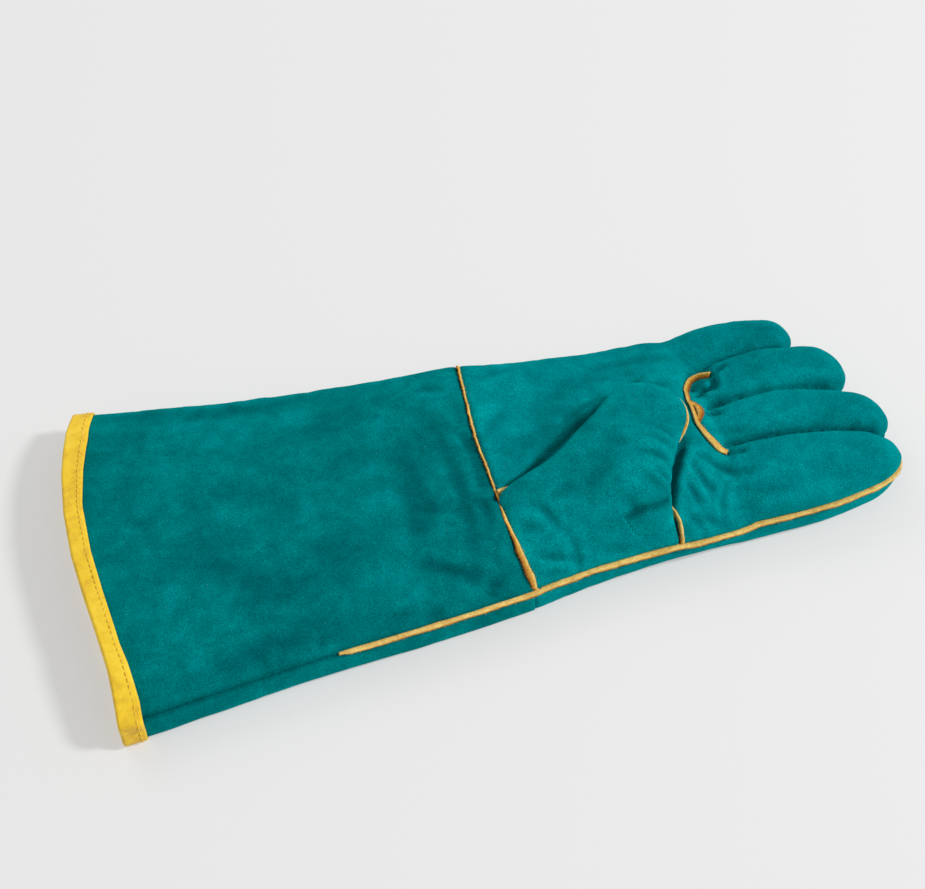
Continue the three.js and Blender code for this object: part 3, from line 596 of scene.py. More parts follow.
def topAt(x, y):  # the palm side's height at a place in plan
    hit = handTree.ray_cast(Vector(((x + shiftX) / 1000, y / 1000, 0.08)), Vector((0, 0, -1)))[0]
    return hit.z * 1000 if hit else glove["sideHeight"]


def onSide(x, side):  # the outer edge at the seam, seen along Y
    y = side * 60
    for _ in range(3):
        hit = handTree.ray_cast(Vector(((x + shiftX) / 1000, side * 0.2, seamAt(y) / 1000)), Vector((0, -side, 0)))[0]
        if hit is None:
            return None
        y = hit.y * 1000
    return y


# the sew line at the thumb's base, in space, before the wrist is bowed
baseSpots = np.linspace(nearEdge(thumb["base"]) - 1, crotchA[1], 24)
baseLine = np.array([(thumb["base"], y, topAt(thumb["base"], y)) for y in baseSpots])

for place, normal in (seamPlane, ((hand["wristGap"], 0, 0), (1, 0, 0)), ((hand["plainGap"], 0, 0), (1, 0, 0)),
                      ((thumb["base"], 0, 0), (1, 0, 0)), ((*crotchA, 0), (*crotchNormal, 0))):
    cut(handSkin.data, place, normal)

points, normals = pointsOf(handSkin.data), normalsOf(handSkin.data)
# points close to the curved finger welt move onto it, so that the two panels part along it
flat = points * (1, 1, 0) + (0, 0, 20)
gap, spot = distances(flat, np.column_stack([weltPlan, np.full(len(weltPlan), 20)]))
snap = (gap < hand["snap"]) & (points[:, 2] > hand["topFrom"])
index = np.clip((spot * (len(weltPlan) - 1)).round().astype(int), 0, len(weltPlan) - 1)
points[snap, :2] = weltPlan[index[snap]]

fromSeam = np.abs(points[:, 2] - seamAt(points[:, 1]))
fromWelt = np.where(points[:, 2] > hand["topFrom"], gap, 99)
fromBase = distances(points, baseLine)[0]
fromWrist = np.abs(points[:, 0] - hand["wristGap"])
fromGap = np.full(len(points), 99.0)
for line in gapLines:
    d = distances(flat, np.column_stack([line, np.full(len(line), 20)]))[0]
    fromGap = np.minimum(fromGap, np.where(points[:, 0] > glove["palmLength"] + 1, d, 99))
upper = points[:, 2] > seamAt(points[:, 1])
width, dip = hand["seamWidth"], hand["seamDip"]
uneven = 0.85 + 0.3 * softNoise(points, 8, 31)
sink = dip * np.exp(-((fromSeam / width) ** 2)) * uneven * np.clip((np.abs(normals[:, 2]) < 0.9), 0, 1)
sink += dip * np.exp(-((fromWelt / hand["weltWidth"]) ** 2)) * uneven
sink += hand["baseDip"] * np.exp(-((fromBase / width) ** 2)) * uneven
sink += hand["wristDip"] * np.exp(-((fromWrist / width) ** 2)) * np.where(upper, 1, 0.3) * np.clip(fromSeam / 8, 0.1, 1)
pastCrotch = np.clip((points[:, 0] - glove["palmLength"] + 2) / 8, 0, 1)
sink += hand["gapDip"] * np.exp(-((fromGap / hand["gapWidth"]) ** 2)) * pastCrotch
calm = np.clip(fromSeam / 6, 0.2, 1) * np.clip(fromWelt / 5, 0.2, 1)
lift = rumple(points, hand["rumple"]) * calm * np.where(upper, 1, 0.5)
foldDepth = np.where(upper, creased(points, creases) * calm, 0)
sink += foldDepth
points += normals * (lift - sink)[:, None]
points[:, 2] = np.maximum(points[:, 2], 0.02)
onFlat = np.abs(normals[:, 2]) > 0.9
nearSew = np.minimum.reduce([fromSeam + 30 * onFlat, fromWelt, fromBase, fromWrist, fromGap + 0.8])
setPoints(handSkin.data, bowed(points))
# painted shade: the seam attribute darkens the colour along seams, welts, the wrist and the gaps between fingers, where
# shade falls
attribute(handSkin.data, "seam", np.exp(-((nearSew / seamShadeReach) ** 2)))
# the fold attribute carries crease depth for painted shade in creases and painted highlight on their banks
attribute(handSkin.data, "fold", foldDepth)


def frontPolygon():
    near, far = gapLines[0], gapLines[2]
    return np.vstack([far[::-1][:-1], weltPlan, near[1:]])


def inside(points, polygon):  # an even-odd test in plan
    x, y = points[:, 0], points[:, 1]
    odd = np.zeros(len(points), bool)
    for (ax, ay), (bx, by) in zip(polygon, np.roll(polygon, -1, axis=0)):
        cross = (ay > y) != (by > y)
        odd ^= cross & (x < (bx - ax) * (y - ay) / (by - ay + 1e-12) + ax)
    return odd


def aboveSeam(m):
    return m[:, 2] > seamAt(m[:, 1])


def pastWrist(m, gap):
    return m[:, 0] - wristBack(m[:, 1]) * np.clip(1 - np.abs(m[:, 0]) / thumb["base"], 0, 1) > gap


frontsOutline = frontPolygon()
palm = keepFaces(handSkin.data, "palm_leather", lambda m: aboveSeam(m) & pastWrist(m, 0.45) & ~inBase(m, -0.4)
                 & ~inside(m, frontsOutline))
fronts = keepFaces(handSkin.data, "finger_fronts_leather", lambda m: aboveSeam(m) & inside(m, frontsOutline))
handBack = keepFaces(handSkin.data, "hand_back_leather", lambda m: ~aboveSeam(m) & pastWrist(m, 0.1))
for piece in (palm, fronts, handBack):
    shell(piece, glove["wall"])
print("hand panels made")


thumbLook = {
    "voxel": 1.0, "smooth": 6, "melt": 80, "meltStrength": 0.6, "meltReach": 34, "tuck": 1.1,
    "rumple": 1.2, "wall": 0.8, "sideDip": 1.2, "sideWidth": 1.8, "baseDip": 0.6, "edgeDip": 0.9, "edgeWidth": 1.5, "onThumb": 1.2,
}
# the leather between the thumb's near side and its base, from its near end to its far one
webbing = {"x": (58, 68), "y": (-56, -24), "half": (20, 15), "bottom": (8, 28), "seam": (14, 36),
           "top": 21, "rise": 25.5, "turn": 75, "fullness": 2.7}


def basePad():  # the hand's near side as a closed block
    points, faces = palmTube
    obj = meshObject("thumb_base", points, faces)
    work = bmesh.new()
    work.from_mesh(obj.data)
    sides = (((0.5, 0, 0), (-1, 0, 0)), ((thumb["base"] - 0.2, 0, 0), (1, 0, 0)),
             ((*crotchA, 0), (*crotchNormal, 0)))
    for place, normal in sides:
        spot = (np.array(place, float) + (shiftX, 0, 0)) / 1000
        made = bmesh.ops.bisect_plane(work, geom=work.verts[:] + work.edges[:] + work.faces[:], dist=1e-7,
                                      plane_co=spot, plane_no=normal, clear_outer=True)
        rim = [e for e in made["geom_cut"] if isinstance(e, bmesh.types.BMEdge)]
        bmesh.ops.edgeloop_fill(work, edges=rim)
    bmesh.ops.recalc_face_normals(work, faces=work.faces[:])
    work.to_mesh(obj.data)
    work.free()
    block = pointsOf(obj.data), [tuple(f.vertices) for f in obj.data.polygons]
    bpy.data.objects.remove(obj)
    return block


def web():
    rows = []
    for t in np.linspace(0, 1, 24):
        row = {key: blend(*webbing[key], t) for key in ("x", "y", "half", "bottom", "seam")}
        row["top"] = webbing["top"] + webbing["rise"] * t**0.48
        row["round"] = min(1, math.sin(math.pi * np.clip(t, 0.03, 0.97)) * 2.2) ** 0.5
        rows.append({**row, "turn": math.radians(webbing["turn"]), "full": webbing["fullness"], "folded": 0,
                     "floor": glove["wall"]})
    return tube(rows)


thumbSkin = fused("thumb_skin", [basePad(), tube(thumbSections()), web()], thumbLook["voxel"])
smoothed(thumbSkin.data, thumbLook["smooth"])
points = pointsOf(thumbSkin.data)
root = thumbSection(0.5)
fromRoot = np.hypot(points[:, 0] - root["x"] - 6, points[:, 1] - root["y"] + 22)
melting = np.clip(1.3 - fromRoot / thumbLook["meltReach"], 0, 1)
melting = melting * np.clip((points[:, 2] - 17) / 4, 0, 1) * np.clip((thumb["base"] - 1 - points[:, 0]) / 4, 0, 1)
smoothed(thumbSkin.data, thumbLook["melt"], thumbLook["meltStrength"], melting)
cut(thumbSkin.data, *seamPlane)
points, normals = pointsOf(thumbSkin.data), normalsOf(thumbSkin.data)

rows = thumbSections()
axis = np.array([(s["x"], s["y"], 0) for s in rows])
shares = thumb["seamShare"] + 0.2 * np.clip((np.arange(len(rows)) - 44) / 12, 0, 1)
split = np.array([blend(s["bottom"], s["top"], share) for s, share in zip(rows, shares)])
_, place = distances(points * (1, 1, 0), axis[20:])
seamHeight = np.interp(place, np.linspace(0, 1, len(axis) - 20), split[20:])
# how deep each point lies in the hand
inHand = np.array([(lambda hit, p: (p - hit[0]).dot(hit[1]) * 1000)(handTree.find_nearest(p), p)
                   for p in (Vector(q) for q in (points + (shiftX, 0, 0)) / 1000)])
onThumb = inHand > thumbLook["onThumb"]
fromEdge = np.where(onThumb & (place > 0.02), np.abs(points[:, 2] - seamHeight), 99)
fromSeam = np.abs(points[:, 2] - seamAt(points[:, 1]))
fromBase = distances(points, baseLine)[0]
fromWrist = np.where(inHand < 1, points[:, 0], 99)
sink = thumbLook["sideDip"] * np.exp(-((fromSeam / thumbLook["sideWidth"]) ** 2)) * np.where(inHand < 1, 1, 0)
sink += thumbLook["baseDip"] * np.exp(-((fromBase / thumbLook["edgeWidth"]) ** 2))
sink += thumbLook["edgeDip"] * np.exp(-((fromEdge / thumbLook["edgeWidth"]) ** 2)) * (np.abs(normals[:, 2]) < 0.85)
calm = np.clip(np.minimum(fromSeam, fromBase) / 6, 0.2, 1) * np.where(normals[:, 2] > -0.2, 1, 0)
foldDepth = creased(points, thumbCreases) * calm
sink += foldDepth
points += normals * (rumple(points, thumbLook["rumple"]) * calm - sink)[:, None]
setPoints(thumbSkin.data, bowed(points))
nearSew = np.minimum.reduce([fromSeam, fromBase, fromWrist, fromEdge])
# painted shade: the seam attribute darkens the thumb's colour along its seams and edge, where shade falls
attribute(thumbSkin.data, "seam", np.exp(-((nearSew / seamShadeReach) ** 2)))
# the fold attribute carries crease depth for painted shade in creases and painted highlight on their banks
attribute(thumbSkin.data, "fold", foldDepth)
attribute(thumbSkin.data, "buried", (inHand < -thumbLook["tuck"]).astype(float))
attribute(thumbSkin.data, "upper", np.where(onThumb & (place > 0.02), points[:, 2] > seamHeight, True).astype(float))


def faceMeans(mesh, name):
    values = np.empty(len(mesh.vertices), np.float32)
    mesh.attributes[name].data.foreach_get("value", values)
    return np.array([values[list(f.vertices)].mean() for f in mesh.polygons])


buried, isUpper = faceMeans(thumbSkin.data, "buried"), faceMeans(thumbSkin.data, "upper")
thumbUpper = keepFaces(thumbSkin.data, "thumb_upper_leather",
                       lambda m: aboveSeam(m) & (buried < 0.5) & (isUpper > 0.5))
thumbUnder = keepFaces(thumbSkin.data, "thumb_under_leather",
                       lambda m: aboveSeam(m) & (buried < 0.5) & (isUpper <= 0.5))
for piece in (thumbUpper, thumbUnder):
    shell(piece, glove["wall"] * thumbLook["wall"])
print("thumb made")


hem = {"width": 11, "thick": 1.1, "gap": 0.25, "slim": 0.74, "lapThick": 0.8, "lapAt": -52, "around": 560,
       "floor": 0.03, "puff": 0.28, "finePuff": 0.14, "stitchFromEdge": 8.2, "stitchLength": 2.5, "stitchPitch": 3.3,
       "threadWidth": 0.42, "stitchFloor": 0.55, "stitchSpots": 700}


def bindingPoints(count, profile):  # each profile row: distance from the mouth's edge, and height off the leather
    angles = np.linspace(0, 2 * math.pi, 5760, endpoint=False)
    rings = []
    for fromEdge, off in profile:
        s = cuffSection(max(fromEdge, 0) / glove["cuffLength"])
        s["x"] = -glove["cuffLength"] + fromEdge
        loop = section(s, angles)
        closed = np.vstack([loop, loop[:1]])
        lengths = np.concatenate([[0], np.cumsum(np.linalg.norm(np.diff(closed, axis=0), axis=1))])
        spots = np.linspace(0, lengths[-1], count, endpoint=False)
        loop = np.stack([np.interp(spots, lengths, closed[:, k]) for k in range(3)], axis=1)
        ahead = np.roll(loop, -1, axis=0) - np.roll(loop, 1, axis=0)
        out = np.stack([np.zeros(count), ahead[:, 2], -ahead[:, 1]], axis=1)
        out /= np.linalg.norm(out, axis=1)[:, None]
        # the strip is narrower across the middle of the mouth, and lies double at its lapped joint
        slim = blend(1, hem["slim"], np.clip(np.minimum((70 - loop[:, 1]) / 40, (loop[:, 1] + 84) / 30), 0, 1))
        lap = np.clip((hem["lapAt"] - loop[:, 1] - 0.5 * fromEdge) / 1.6, 0, 1) * (loop[:, 2] > 12)
        loop[:, 0] = -glove["cuffLength"] + fromEdge * np.where(fromEdge > 0, slim, 1)
        rings.append(bowed(loop) + out * (off + hem["lapThick"] * lap * (off > 0.9))[:, None])
    return np.array(rings)


def makeBinding():
    t, g, wall = hem["thick"], hem["gap"], glove["wall"]
    outer, inner = g + t, -(wall + g + t)
    fold = [(-outer * math.sin(a), blend(inner, outer, (1 - math.cos(a)) / 2)) for a in np.linspace(0, math.pi, 9)]
    profile = [(hem["width"], g + 0.1), (hem["width"] + 0.15, g + 0.6), (hem["width"] - 0.4, outer)]
    profile += [(x, outer) for x in np.linspace(hem["width"] - 1.4, 0.8, 10)]
    profile += fold[::-1] + [(x, inner) for x in np.linspace(0.8, hem["width"], 8)]
    profile += [(hem["width"] + 0.1, inner + 0.6), (hem["width"], -(wall + g + 0.1))]
    profile += [(x, -(wall + g)) for x in np.linspace(hem["width"] - 1, 0.3, 5)]
    profile += [(x, g) for x in np.linspace(0.3, hem["width"] - 1, 5)]
    count = hem["around"]
    rings = bindingPoints(count, profile)
    flat = rings.reshape(-1, 3)
    puff = hem["puff"] * softNoise(flat, 9, 41) + hem["finePuff"] * softNoise(flat, 3.2, 42)
    offs = np.repeat([off for _, off in profile], count)
    flat[:, 2] += np.sign(flat[:, 2] - flat[:, 2].mean()) * puff * (offs > 0.5)
    flat[:, 2] = np.maximum(flat[:, 2], hem["floor"])
    rows = len(profile)
    faces = gridFaces(rows, count, True)
    faces += [((rows - 1) * count + j, (rows - 1) * count + (j + 1) % count, (j + 1) % count, j) for j in range(count)]
    return facedOut(meshObject("hem_binding_tape", flat, faces))


binding = makeBinding()
print("binding made")


welt = {"thick": 1.9, "proud": 1.6, "tuck": 2.2, "rimThick": 1.2, "rimProud": 0.8}
# a strip's outline from one foot over its rounded edge to the other: across and up, as shares
stripCorners = [(-1, 0.0), (-1, 0.5), (-0.97, 0.82), (-0.8, 0.97), (-0.3, 1.0),
                (0.3, 1.0), (0.8, 0.97), (0.97, 0.82), (1, 0.5), (1, 0.0)]


def strand(line, sideways, uprights, thick, low, high, seed, taper=(0.5, 0.5), lit=0.0):
    # a rounded strip of leather along a line: sideways is across its thickness, upright the way it stands out
    count, n = len(line), len(stripCorners)
    t = np.linspace(0, 1, count)
    length = np.linalg.norm(np.diff(line, axis=0), axis=1).sum()
    ends = np.clip(t * length / 6, taper[0], 1) * np.clip((1 - t) * length / 6, taper[1], 1)
    grow = ends * (1 + 0.22 * softNoise(line, 7, seed) + 0.16 * softNoise(line, 2.4, seed + 1))
    sway = 0.6 * softNoise(line, 11, seed + 2) + 0.22 * softNoise(line, 2.6, seed + 3)
    points, edge = [], []
    for i in range(count):
        for c, h in stripCorners:
            reach = blend(low, high * grow[i], h)
            across = c * thick[i] / 2 * (0.75 + 0.25 * grow[i]) + sway[i] * h
            points.append(line[i] + sideways[i] * across + uprights[i] * reach)
            # painted light and shade: the edge value runs from dark at the strip's feet to light on its top, and lit
            # turns it towards one lit side
            edge.append(blend(h, 0.5 + 0.5 * c, lit))
    faces = gridFaces(count, n, True)
    return np.array(points), faces + [tuple(range(n))[::-1], tuple(range((count - 1) * n, count * n))], edge


def weltPiece(name, *strands):
    points, faces, edge = [], [], []
    for p, f, e in strands:
        faces += [tuple(v + len(edge) for v in face) for face in f]
        points.append(p)
        edge += e
    obj = meshObject(name, bowed(np.vstack(points)), faces)
    # the edge attribute holds each strip's painted light and shade
    attribute(obj.data, "edge", edge)
    return facedOut(obj)


def rightOf(line):
    ahead = np.gradient(line, axis=0)
    out = np.stack([ahead[:, 1], -ahead[:, 0], np.zeros(len(line))], axis=1)
    return out / np.linalg.norm(out, axis=1)[:, None]


def cuffEdge(along, side):
    s = cuffSection(along)
    loop = section(s, np.linspace(0, 2 * math.pi, 2880, endpoint=False))
    sel = loop[np.sign(loop[:, 1] - s["y"]) == side]
    best = np.abs(sel[:, 2] - seamAt(sel[:, 1])).argmin()
    return sel[best]


def sideWelt(name, finger, side, seed):
    tip = glove["palmLength"] + finger["reach"] * glove["fingerLength"]
    path = [cuffEdge(1 + x / glove["cuffLength"], side) for x in np.linspace(-92, -4, 12)]
    for x in np.linspace(2, tip - 2.0, 40):
        y = onSide(x, side)
        if y is not None:
            path.append((x, y, seamAt(y)))
    end = fingerSection(finger, tip)["y"]
    path.append((tip + 0.2, blend(path[-1][1], end, 0.75), seamAt(end)))
    line = along(path, 260)
    out = rightOf(line) * -side
    out[:, 2] = seamSlope * out[:, 1]
    up = np.tile((0, 0, 1.0), (len(line), 1))
    thick = welt["thick"] * np.clip(0.55 + 0.45 * np.linspace(0, 1, len(line)) * 8, 0.6, 1)
    return weltPiece(name, strand(line, up, out, thick, -welt["tuck"], welt["proud"], seed, (0.3, 0.8), 0.75))


nearWelt = sideWelt("side_welt_near_leather", fingers["index"], -1, 51)
farWelt = sideWelt("side_welt_far_leather", fingers["little"], 1, 54)


def standing(plan, seed, count, thick, high, lean=0.0, taper=(0.6, 0.6), lit=0.0):
    line = along([(x, y, topAt(x, y)) for x, y in plan], count)
    right = rightOf(line)
    up = np.tile((0, 0, 1.0), (len(line), 1)) + right * lean
    width = np.interp(np.linspace(0, 1, count), *np.array(thick).T)
    return strand(line, right, up, width, -welt["tuck"], high, seed, taper, lit)


fingerSizes = [(0, 2.0), (0.3, 1.6), (0.6, 1.8), (0.8, 3.0), (0.95, 4.1), (1, 3.4)]  # share of the length, thickness
knot = [(110.4, 15.4), (112.6, 13.6), (114.0, 10.2), (113.4, 6.6), (111.8, 4.0), (109.6, 1.6)]
fingerWelt = weltPiece(
    "finger_welt_leather",
    standing(weltPlan[::2], 61, 130, fingerSizes, 1.3, 0.5, (0.8, 0.7), 0.35),
    standing(knot, 81, 46, [(0, 2.0), (0.45, 3.6), (1, 1.8)], 2.3, 0.3, (0.6, 0.5), 0.8),
)
baseEdge = np.linspace(nearEdge(thumb["base"]) + 0.5, crotchA[1] + 1.0, 12)
basePlan = [(thumb["base"] + 0.5 + 1.3 * math.sin(v * math.pi) - 1.6 * v, y)
            for v, y in zip(np.linspace(0, 1, 12), baseEdge)]
baseWelt = weltPiece("thumb_base_welt_leather", standing(basePlan, 64, 50, [(0, 1.3), (1, 1.1)], 1.1, 0.35, (0.7, 0.3)))
wristPlan = [(0.1, y) for y in np.linspace(-68.5, 77.5, 60)]
wristSizes = [(0, 2.4), (0.04, 3.7), (0.13, 3.0), (0.2, 1.5), (0.3, 1.15), (0.92, 1.05), (0.965, 1.7), (1, 1.6)]
wristWelt = weltPiece("wrist_welt_leather", standing(wristPlan, 67, 300, wristSizes, 0.8, -0.45, (0.9, 0.8), 0.75))


def thumbEdge():
    path = []
    for s, share in list(zip(rows, shares))[24:]:
        r = s.get("round", 1)
        z = blend(s["bottom"], s["top"], share)
        depth = (s["seam"] - z) / (s["seam"] - s["bottom"])
        half = s["half"] * r * (1 - depth**3.6) ** (1 / 3.6)
        path.append([(s["x"] - math.sin(s["turn"]) * half * k, s["y"] + math.cos(s["turn"]) * half * k,
                      z + s["tilt"] * half * k) for k in (1, -1)])
    far, near = zip(*path)
    return list(far) + [p for p in near[:-1][::-1] if p[1] > -17]


line = along(thumbEdge()[::2], 230)
rim = strand(line, np.tile((0, 0, 1.0), (len(line), 1)), -rightOf(line), np.full(len(line), welt["rimThick"]),
             -welt["tuck"], welt["rimProud"], 71, (0.3, 0.2))
rootPlan = [(0.9, -17.8), (4, -17.2), (7.5, -15.8), (12, -13.4)]
thumbWelt = weltPiece("thumb_welt_leather", rim, standing(rootPlan, 74, 24, [(0, 2.2), (1, 0.9)], 1.6, -0.2, (1, 0.3)))
print("welts made")


def geometryTree(name, sizes, seeded):  # a tree with named sizes and a material
    tree = bpy.data.node_groups.new(name, "GeometryNodeTree")
    face = tree.interface
    face.new_socket("Geometry", in_out="INPUT", socket_type="NodeSocketGeometry")
    for label, value in sizes:
        face.new_socket(label, in_out="INPUT", socket_type="NodeSocketFloat").default_value = value
    if seeded:
        face.new_socket("Seed", in_out="INPUT", socket_type="NodeSocketInt").default_value = 1
    face.new_socket("Material", in_out="INPUT", socket_type="NodeSocketMaterial")
    face.new_socket("Geometry", in_out="OUTPUT", socket_type="NodeSocketGeometry")
    return tree, tree.nodes.new, tree.links.new


def finished(add, join, entry, leave, place):  # the tree's end: real meshes with their material
    real, paint = add("GeometryNodeRealizeInstances"), add("GeometryNodeSetMaterial")
    join(place.outputs["Instances"], real.inputs["Geometry"])
    join(real.outputs["Geometry"], paint.inputs["Geometry"])
    join(entry.outputs["Material"], paint.inputs["Material"])
    join(paint.outputs["Geometry"], leave.inputs["Geometry"])


def stitchTree():  # small oval stitches along a curve
    tree, add, join = geometryTree("stitchRow", (("Pitch", 0.0033), ("Length", 0.0025), ("Thread", 0.0004)), False)
    entry, leave = add("NodeGroupInput"), add("NodeGroupOutput")
    spots = add("GeometryNodeCurveToPoints")
    spots.mode = "LENGTH"
    ball = add("GeometryNodeMeshUVSphere")
    ball.inputs["Segments"].default_value, ball.inputs["Rings"].default_value = 8, 6
    size = add("ShaderNodeCombineXYZ")
    half = add("ShaderNodeMath")
    half.operation, half.inputs[1].default_value = "MULTIPLY", 0.5
    place, scaled = add("GeometryNodeInstanceOnPoints"), add("GeometryNodeTransform")
    join(entry.outputs["Geometry"], spots.inputs["Curve"])
    join(entry.outputs["Pitch"], spots.inputs["Length"])
    join(entry.outputs["Length"], half.inputs[0])
    for axisName in ("X", "Y"):
        join(entry.outputs["Thread"], size.inputs[axisName])
    join(half.outputs[0], size.inputs["Z"])
    join(ball.outputs["Mesh"], scaled.inputs["Geometry"])
    join(size.outputs[0], scaled.inputs["Scale"])
    join(spots.outputs["Points"], place.inputs["Points"])
    join(spots.outputs["Rotation"], place.inputs["Rotation"])
    join(scaled.outputs["Geometry"], place.inputs["Instance"])
    finished(add, join, entry, leave, place)
    return tree


def curveObject(name, points, closed):
    data = bpy.data.curves.new(name, "CURVE")
    data.dimensions = "3D"
    line = data.splines.new("POLY")
    line.points.add(len(points) - 1)
    place = (np.asarray(points) + (shiftX, 0, 0)) / 1000
    line.points.foreach_set("co", np.column_stack([place, np.ones(len(place))]).ravel())
    line.use_cyclic_u = closed
    obj = bpy.data.objects.new(name, data)
    bpy.context.collection.objects.link(obj)
    return obj


def colour(r, g, b):  # display colour to the shader's own
    shares = (r / 255, g / 255, b / 255)
    return tuple((v / 12.92 if v <= 0.04045 else ((v + 0.055) / 1.055) ** 2.4) for v in shares) + (1,)


def napGroup():  # fibres of split leather: a tone mask, a speck mask and a height
    tree = bpy.data.node_groups.new("leatherNap", "ShaderNodeTree")
    face = tree.interface
    for label, value in (("Cloud Scale", 30.0), ("Fibre Scale", 1500.0), ("Speck Scale", 420.0)):
        face.new_socket(label, in_out="INPUT", socket_type="NodeSocketFloat").default_value = value
    for label in ("Cloud", "Fibre", "Speck", "Height"):
        face.new_socket(label, in_out="OUTPUT", socket_type="NodeSocketFloat")
    add, join = tree.nodes.new, tree.links.new
    entry, leave = add("NodeGroupInput"), add("NodeGroupOutput")
    where = add("ShaderNodeTexCoord")

    def noise(scale, detail, roughness, distortion=0.0, times=1.0):
        node = add("ShaderNodeTexNoise")
        node.inputs["Detail"].default_value = detail
        node.inputs["Roughness"].default_value = roughness
        node.inputs["Distortion"].default_value = distortion
        join(where.outputs["Object"], node.inputs["Vector"])
        if times == 1:
            join(scale, node.inputs["Scale"])
        else:
            product = add("ShaderNodeMath")
            product.operation, product.inputs[1].default_value = "MULTIPLY", times
            join(scale, product.inputs[0])
            join(product.outputs[0], node.inputs["Scale"])
        return node.outputs["Fac"]

    def maths(kind, a, b):
        node = add("ShaderNodeMath")
        node.operation = kind
        for socket, value in zip(node.inputs, (a, b)):
            if isinstance(value, (int, float)):
                socket.default_value = value
            else:
                join(value, socket)
        return node.outputs[0]

    clouds = noise(entry.outputs["Cloud Scale"], 6, 0.62, 0.6)
    patches = noise(entry.outputs["Cloud Scale"], 3, 0.5, 0.3, 4.5)
    join(maths("ADD", maths("MULTIPLY", clouds, 0.66), maths("MULTIPLY", patches, 0.34)), leave.inputs["Cloud"])
    hairs = noise(entry.outputs["Fibre Scale"], 4, 0.7, 1.2)
    strands = noise(entry.outputs["Fibre Scale"], 2, 0.5, 2.0, 0.4)
    join(hairs, leave.inputs["Fibre"])
    join(maths("ADD", maths("MULTIPLY", hairs, 0.6), maths("MULTIPLY", strands, 0.7)), leave.inputs["Height"])
    specks = noise(entry.outputs["Speck Scale"], 1, 0.4, 3.0)
    join(specks, leave.inputs["Speck"])
    return tree


def fibreTree():  # short leaning fibres that stand out of a surface
    tree, add, join = geometryTree("fuzz", (("Density", 6e5), ("Length", 0.0011), ("Thickness", 0.00006)), True)
    entry, leave = add("NodeGroupInput"), add("NodeGroupOutput")
    spread, hair = add("GeometryNodeDistributePointsOnFaces"), add("GeometryNodeMeshCone")
    hair.fill_type = "NONE"
    hair.inputs["Vertices"].default_value, hair.inputs["Side Segments"].default_value = 3, 2
    hair.inputs["Radius Top"].default_value = 0
    lean, size = add("FunctionNodeRandomValue"), add("FunctionNodeRandomValue")
    lean.data_type = "FLOAT_VECTOR"
    lean.inputs["Min"].default_value, lean.inputs["Max"].default_value = (-1.2, -1.2, -3), (1.2, 1.2, 3)
    size.inputs[2].default_value, size.inputs[3].default_value = 0.4, 1.3
    euler, turn = add("FunctionNodeEulerToRotation"), add("FunctionNodeRotateRotation")
    turn.rotation_space = "LOCAL"
    place = add("GeometryNodeInstanceOnPoints")
    join(entry.outputs["Geometry"], spread.inputs["Mesh"])
    join(entry.outputs["Density"], spread.inputs["Density"])
    for node in (spread, lean, size):
        join(entry.outputs["Seed"], node.inputs["Seed"])
    join(entry.outputs["Thickness"], hair.inputs["Radius Bottom"])
    join(entry.outputs["Length"], hair.inputs["Depth"])
    join(lean.outputs["Value"], euler.inputs["Euler"])
    join(spread.outputs["Rotation"], turn.inputs["Rotation"])
    join(euler.outputs["Rotation"], turn.inputs["Rotate By"])
    join(spread.outputs["Points"], place.inputs["Points"])
    join(hair.outputs["Mesh"], place.inputs["Instance"])
    join(turn.outputs["Rotation"], place.inputs["Rotation"])
    join(size.outputs[1], place.inputs["Scale"])
    finished(add, join, entry, leave, place)
    return tree


def grown(name, source, tree, values):  # a new object from a node tree over a copy of another
    obj = bpy.data.objects.new(name, source.data.copy())
    bpy.context.collection.objects.link(obj)
    modifier = obj.modifiers.new(name, "NODES")
    modifier.node_group = tree
    for item in tree.interface.items_tree:
        if item.in_out == "INPUT" and item.name in values:
            modifier[item.identifier] = values[item.name]
    graph = bpy.context.evaluated_depsgraph_get()
    mesh = bpy.data.meshes.new_from_object(obj.evaluated_get(graph), depsgraph=graph)
    bpy.data.objects.remove(obj)
    made = bpy.data.objects.new(name, mesh)
    bpy.context.collection.objects.link(made)
    mesh.shade_smooth()
    return made


nap = napGroup()


def ramp(nodes, stops):
    node = nodes.new("ShaderNodeValToRGB")
    elements = node.color_ramp.elements
    while len(elements) < len(stops):
        elements.new(0.5)
    for element, (place, tone) in zip(elements, stops):
        element.position, element.color = place, tone
    return node


def startMaterial(name, roughness, specular, scales):  # a new finish with its own copy of the nap
    made = bpy.data.materials.new(name)
    made.use_nodes = True
    nodes, join = made.node_tree.nodes, made.node_tree.links.new
    shader = nodes["Principled BSDF"]
    shader.inputs["Roughness"].default_value = roughness
    shader.inputs["Specular IOR Level"].default_value = specular
    fibres = nodes.new("ShaderNodeGroup")
    fibres.node_tree = nap
    for label, value in zip(("Cloud Scale", "Fibre Scale", "Speck Scale"), scales):
        fibres.inputs[label].default_value = value
    return made, nodes, join, shader, fibres


def multiplied(nodes, join, first, second):  # one colour times another
    node = nodes.new("ShaderNodeMix")
    node.data_type, node.blend_type = "RGBA", "MULTIPLY"
    node.inputs["Factor"].default_value = 1
    join(first, node.inputs["A"])
    join(second, node.inputs["B"])
    return node.outputs["Result"]


def relieved(nodes, join, shader, fibres, distance, strength=1.0):  # the nap's height as bump
    relief = nodes.new("ShaderNodeBump")
    relief.inputs["Distance"].default_value = distance
    relief.inputs["Strength"].default_value = strength
    join(fibres.outputs["Height"], relief.inputs["Height"])
    join(relief.outputs["Normal"], shader.inputs["Normal"])


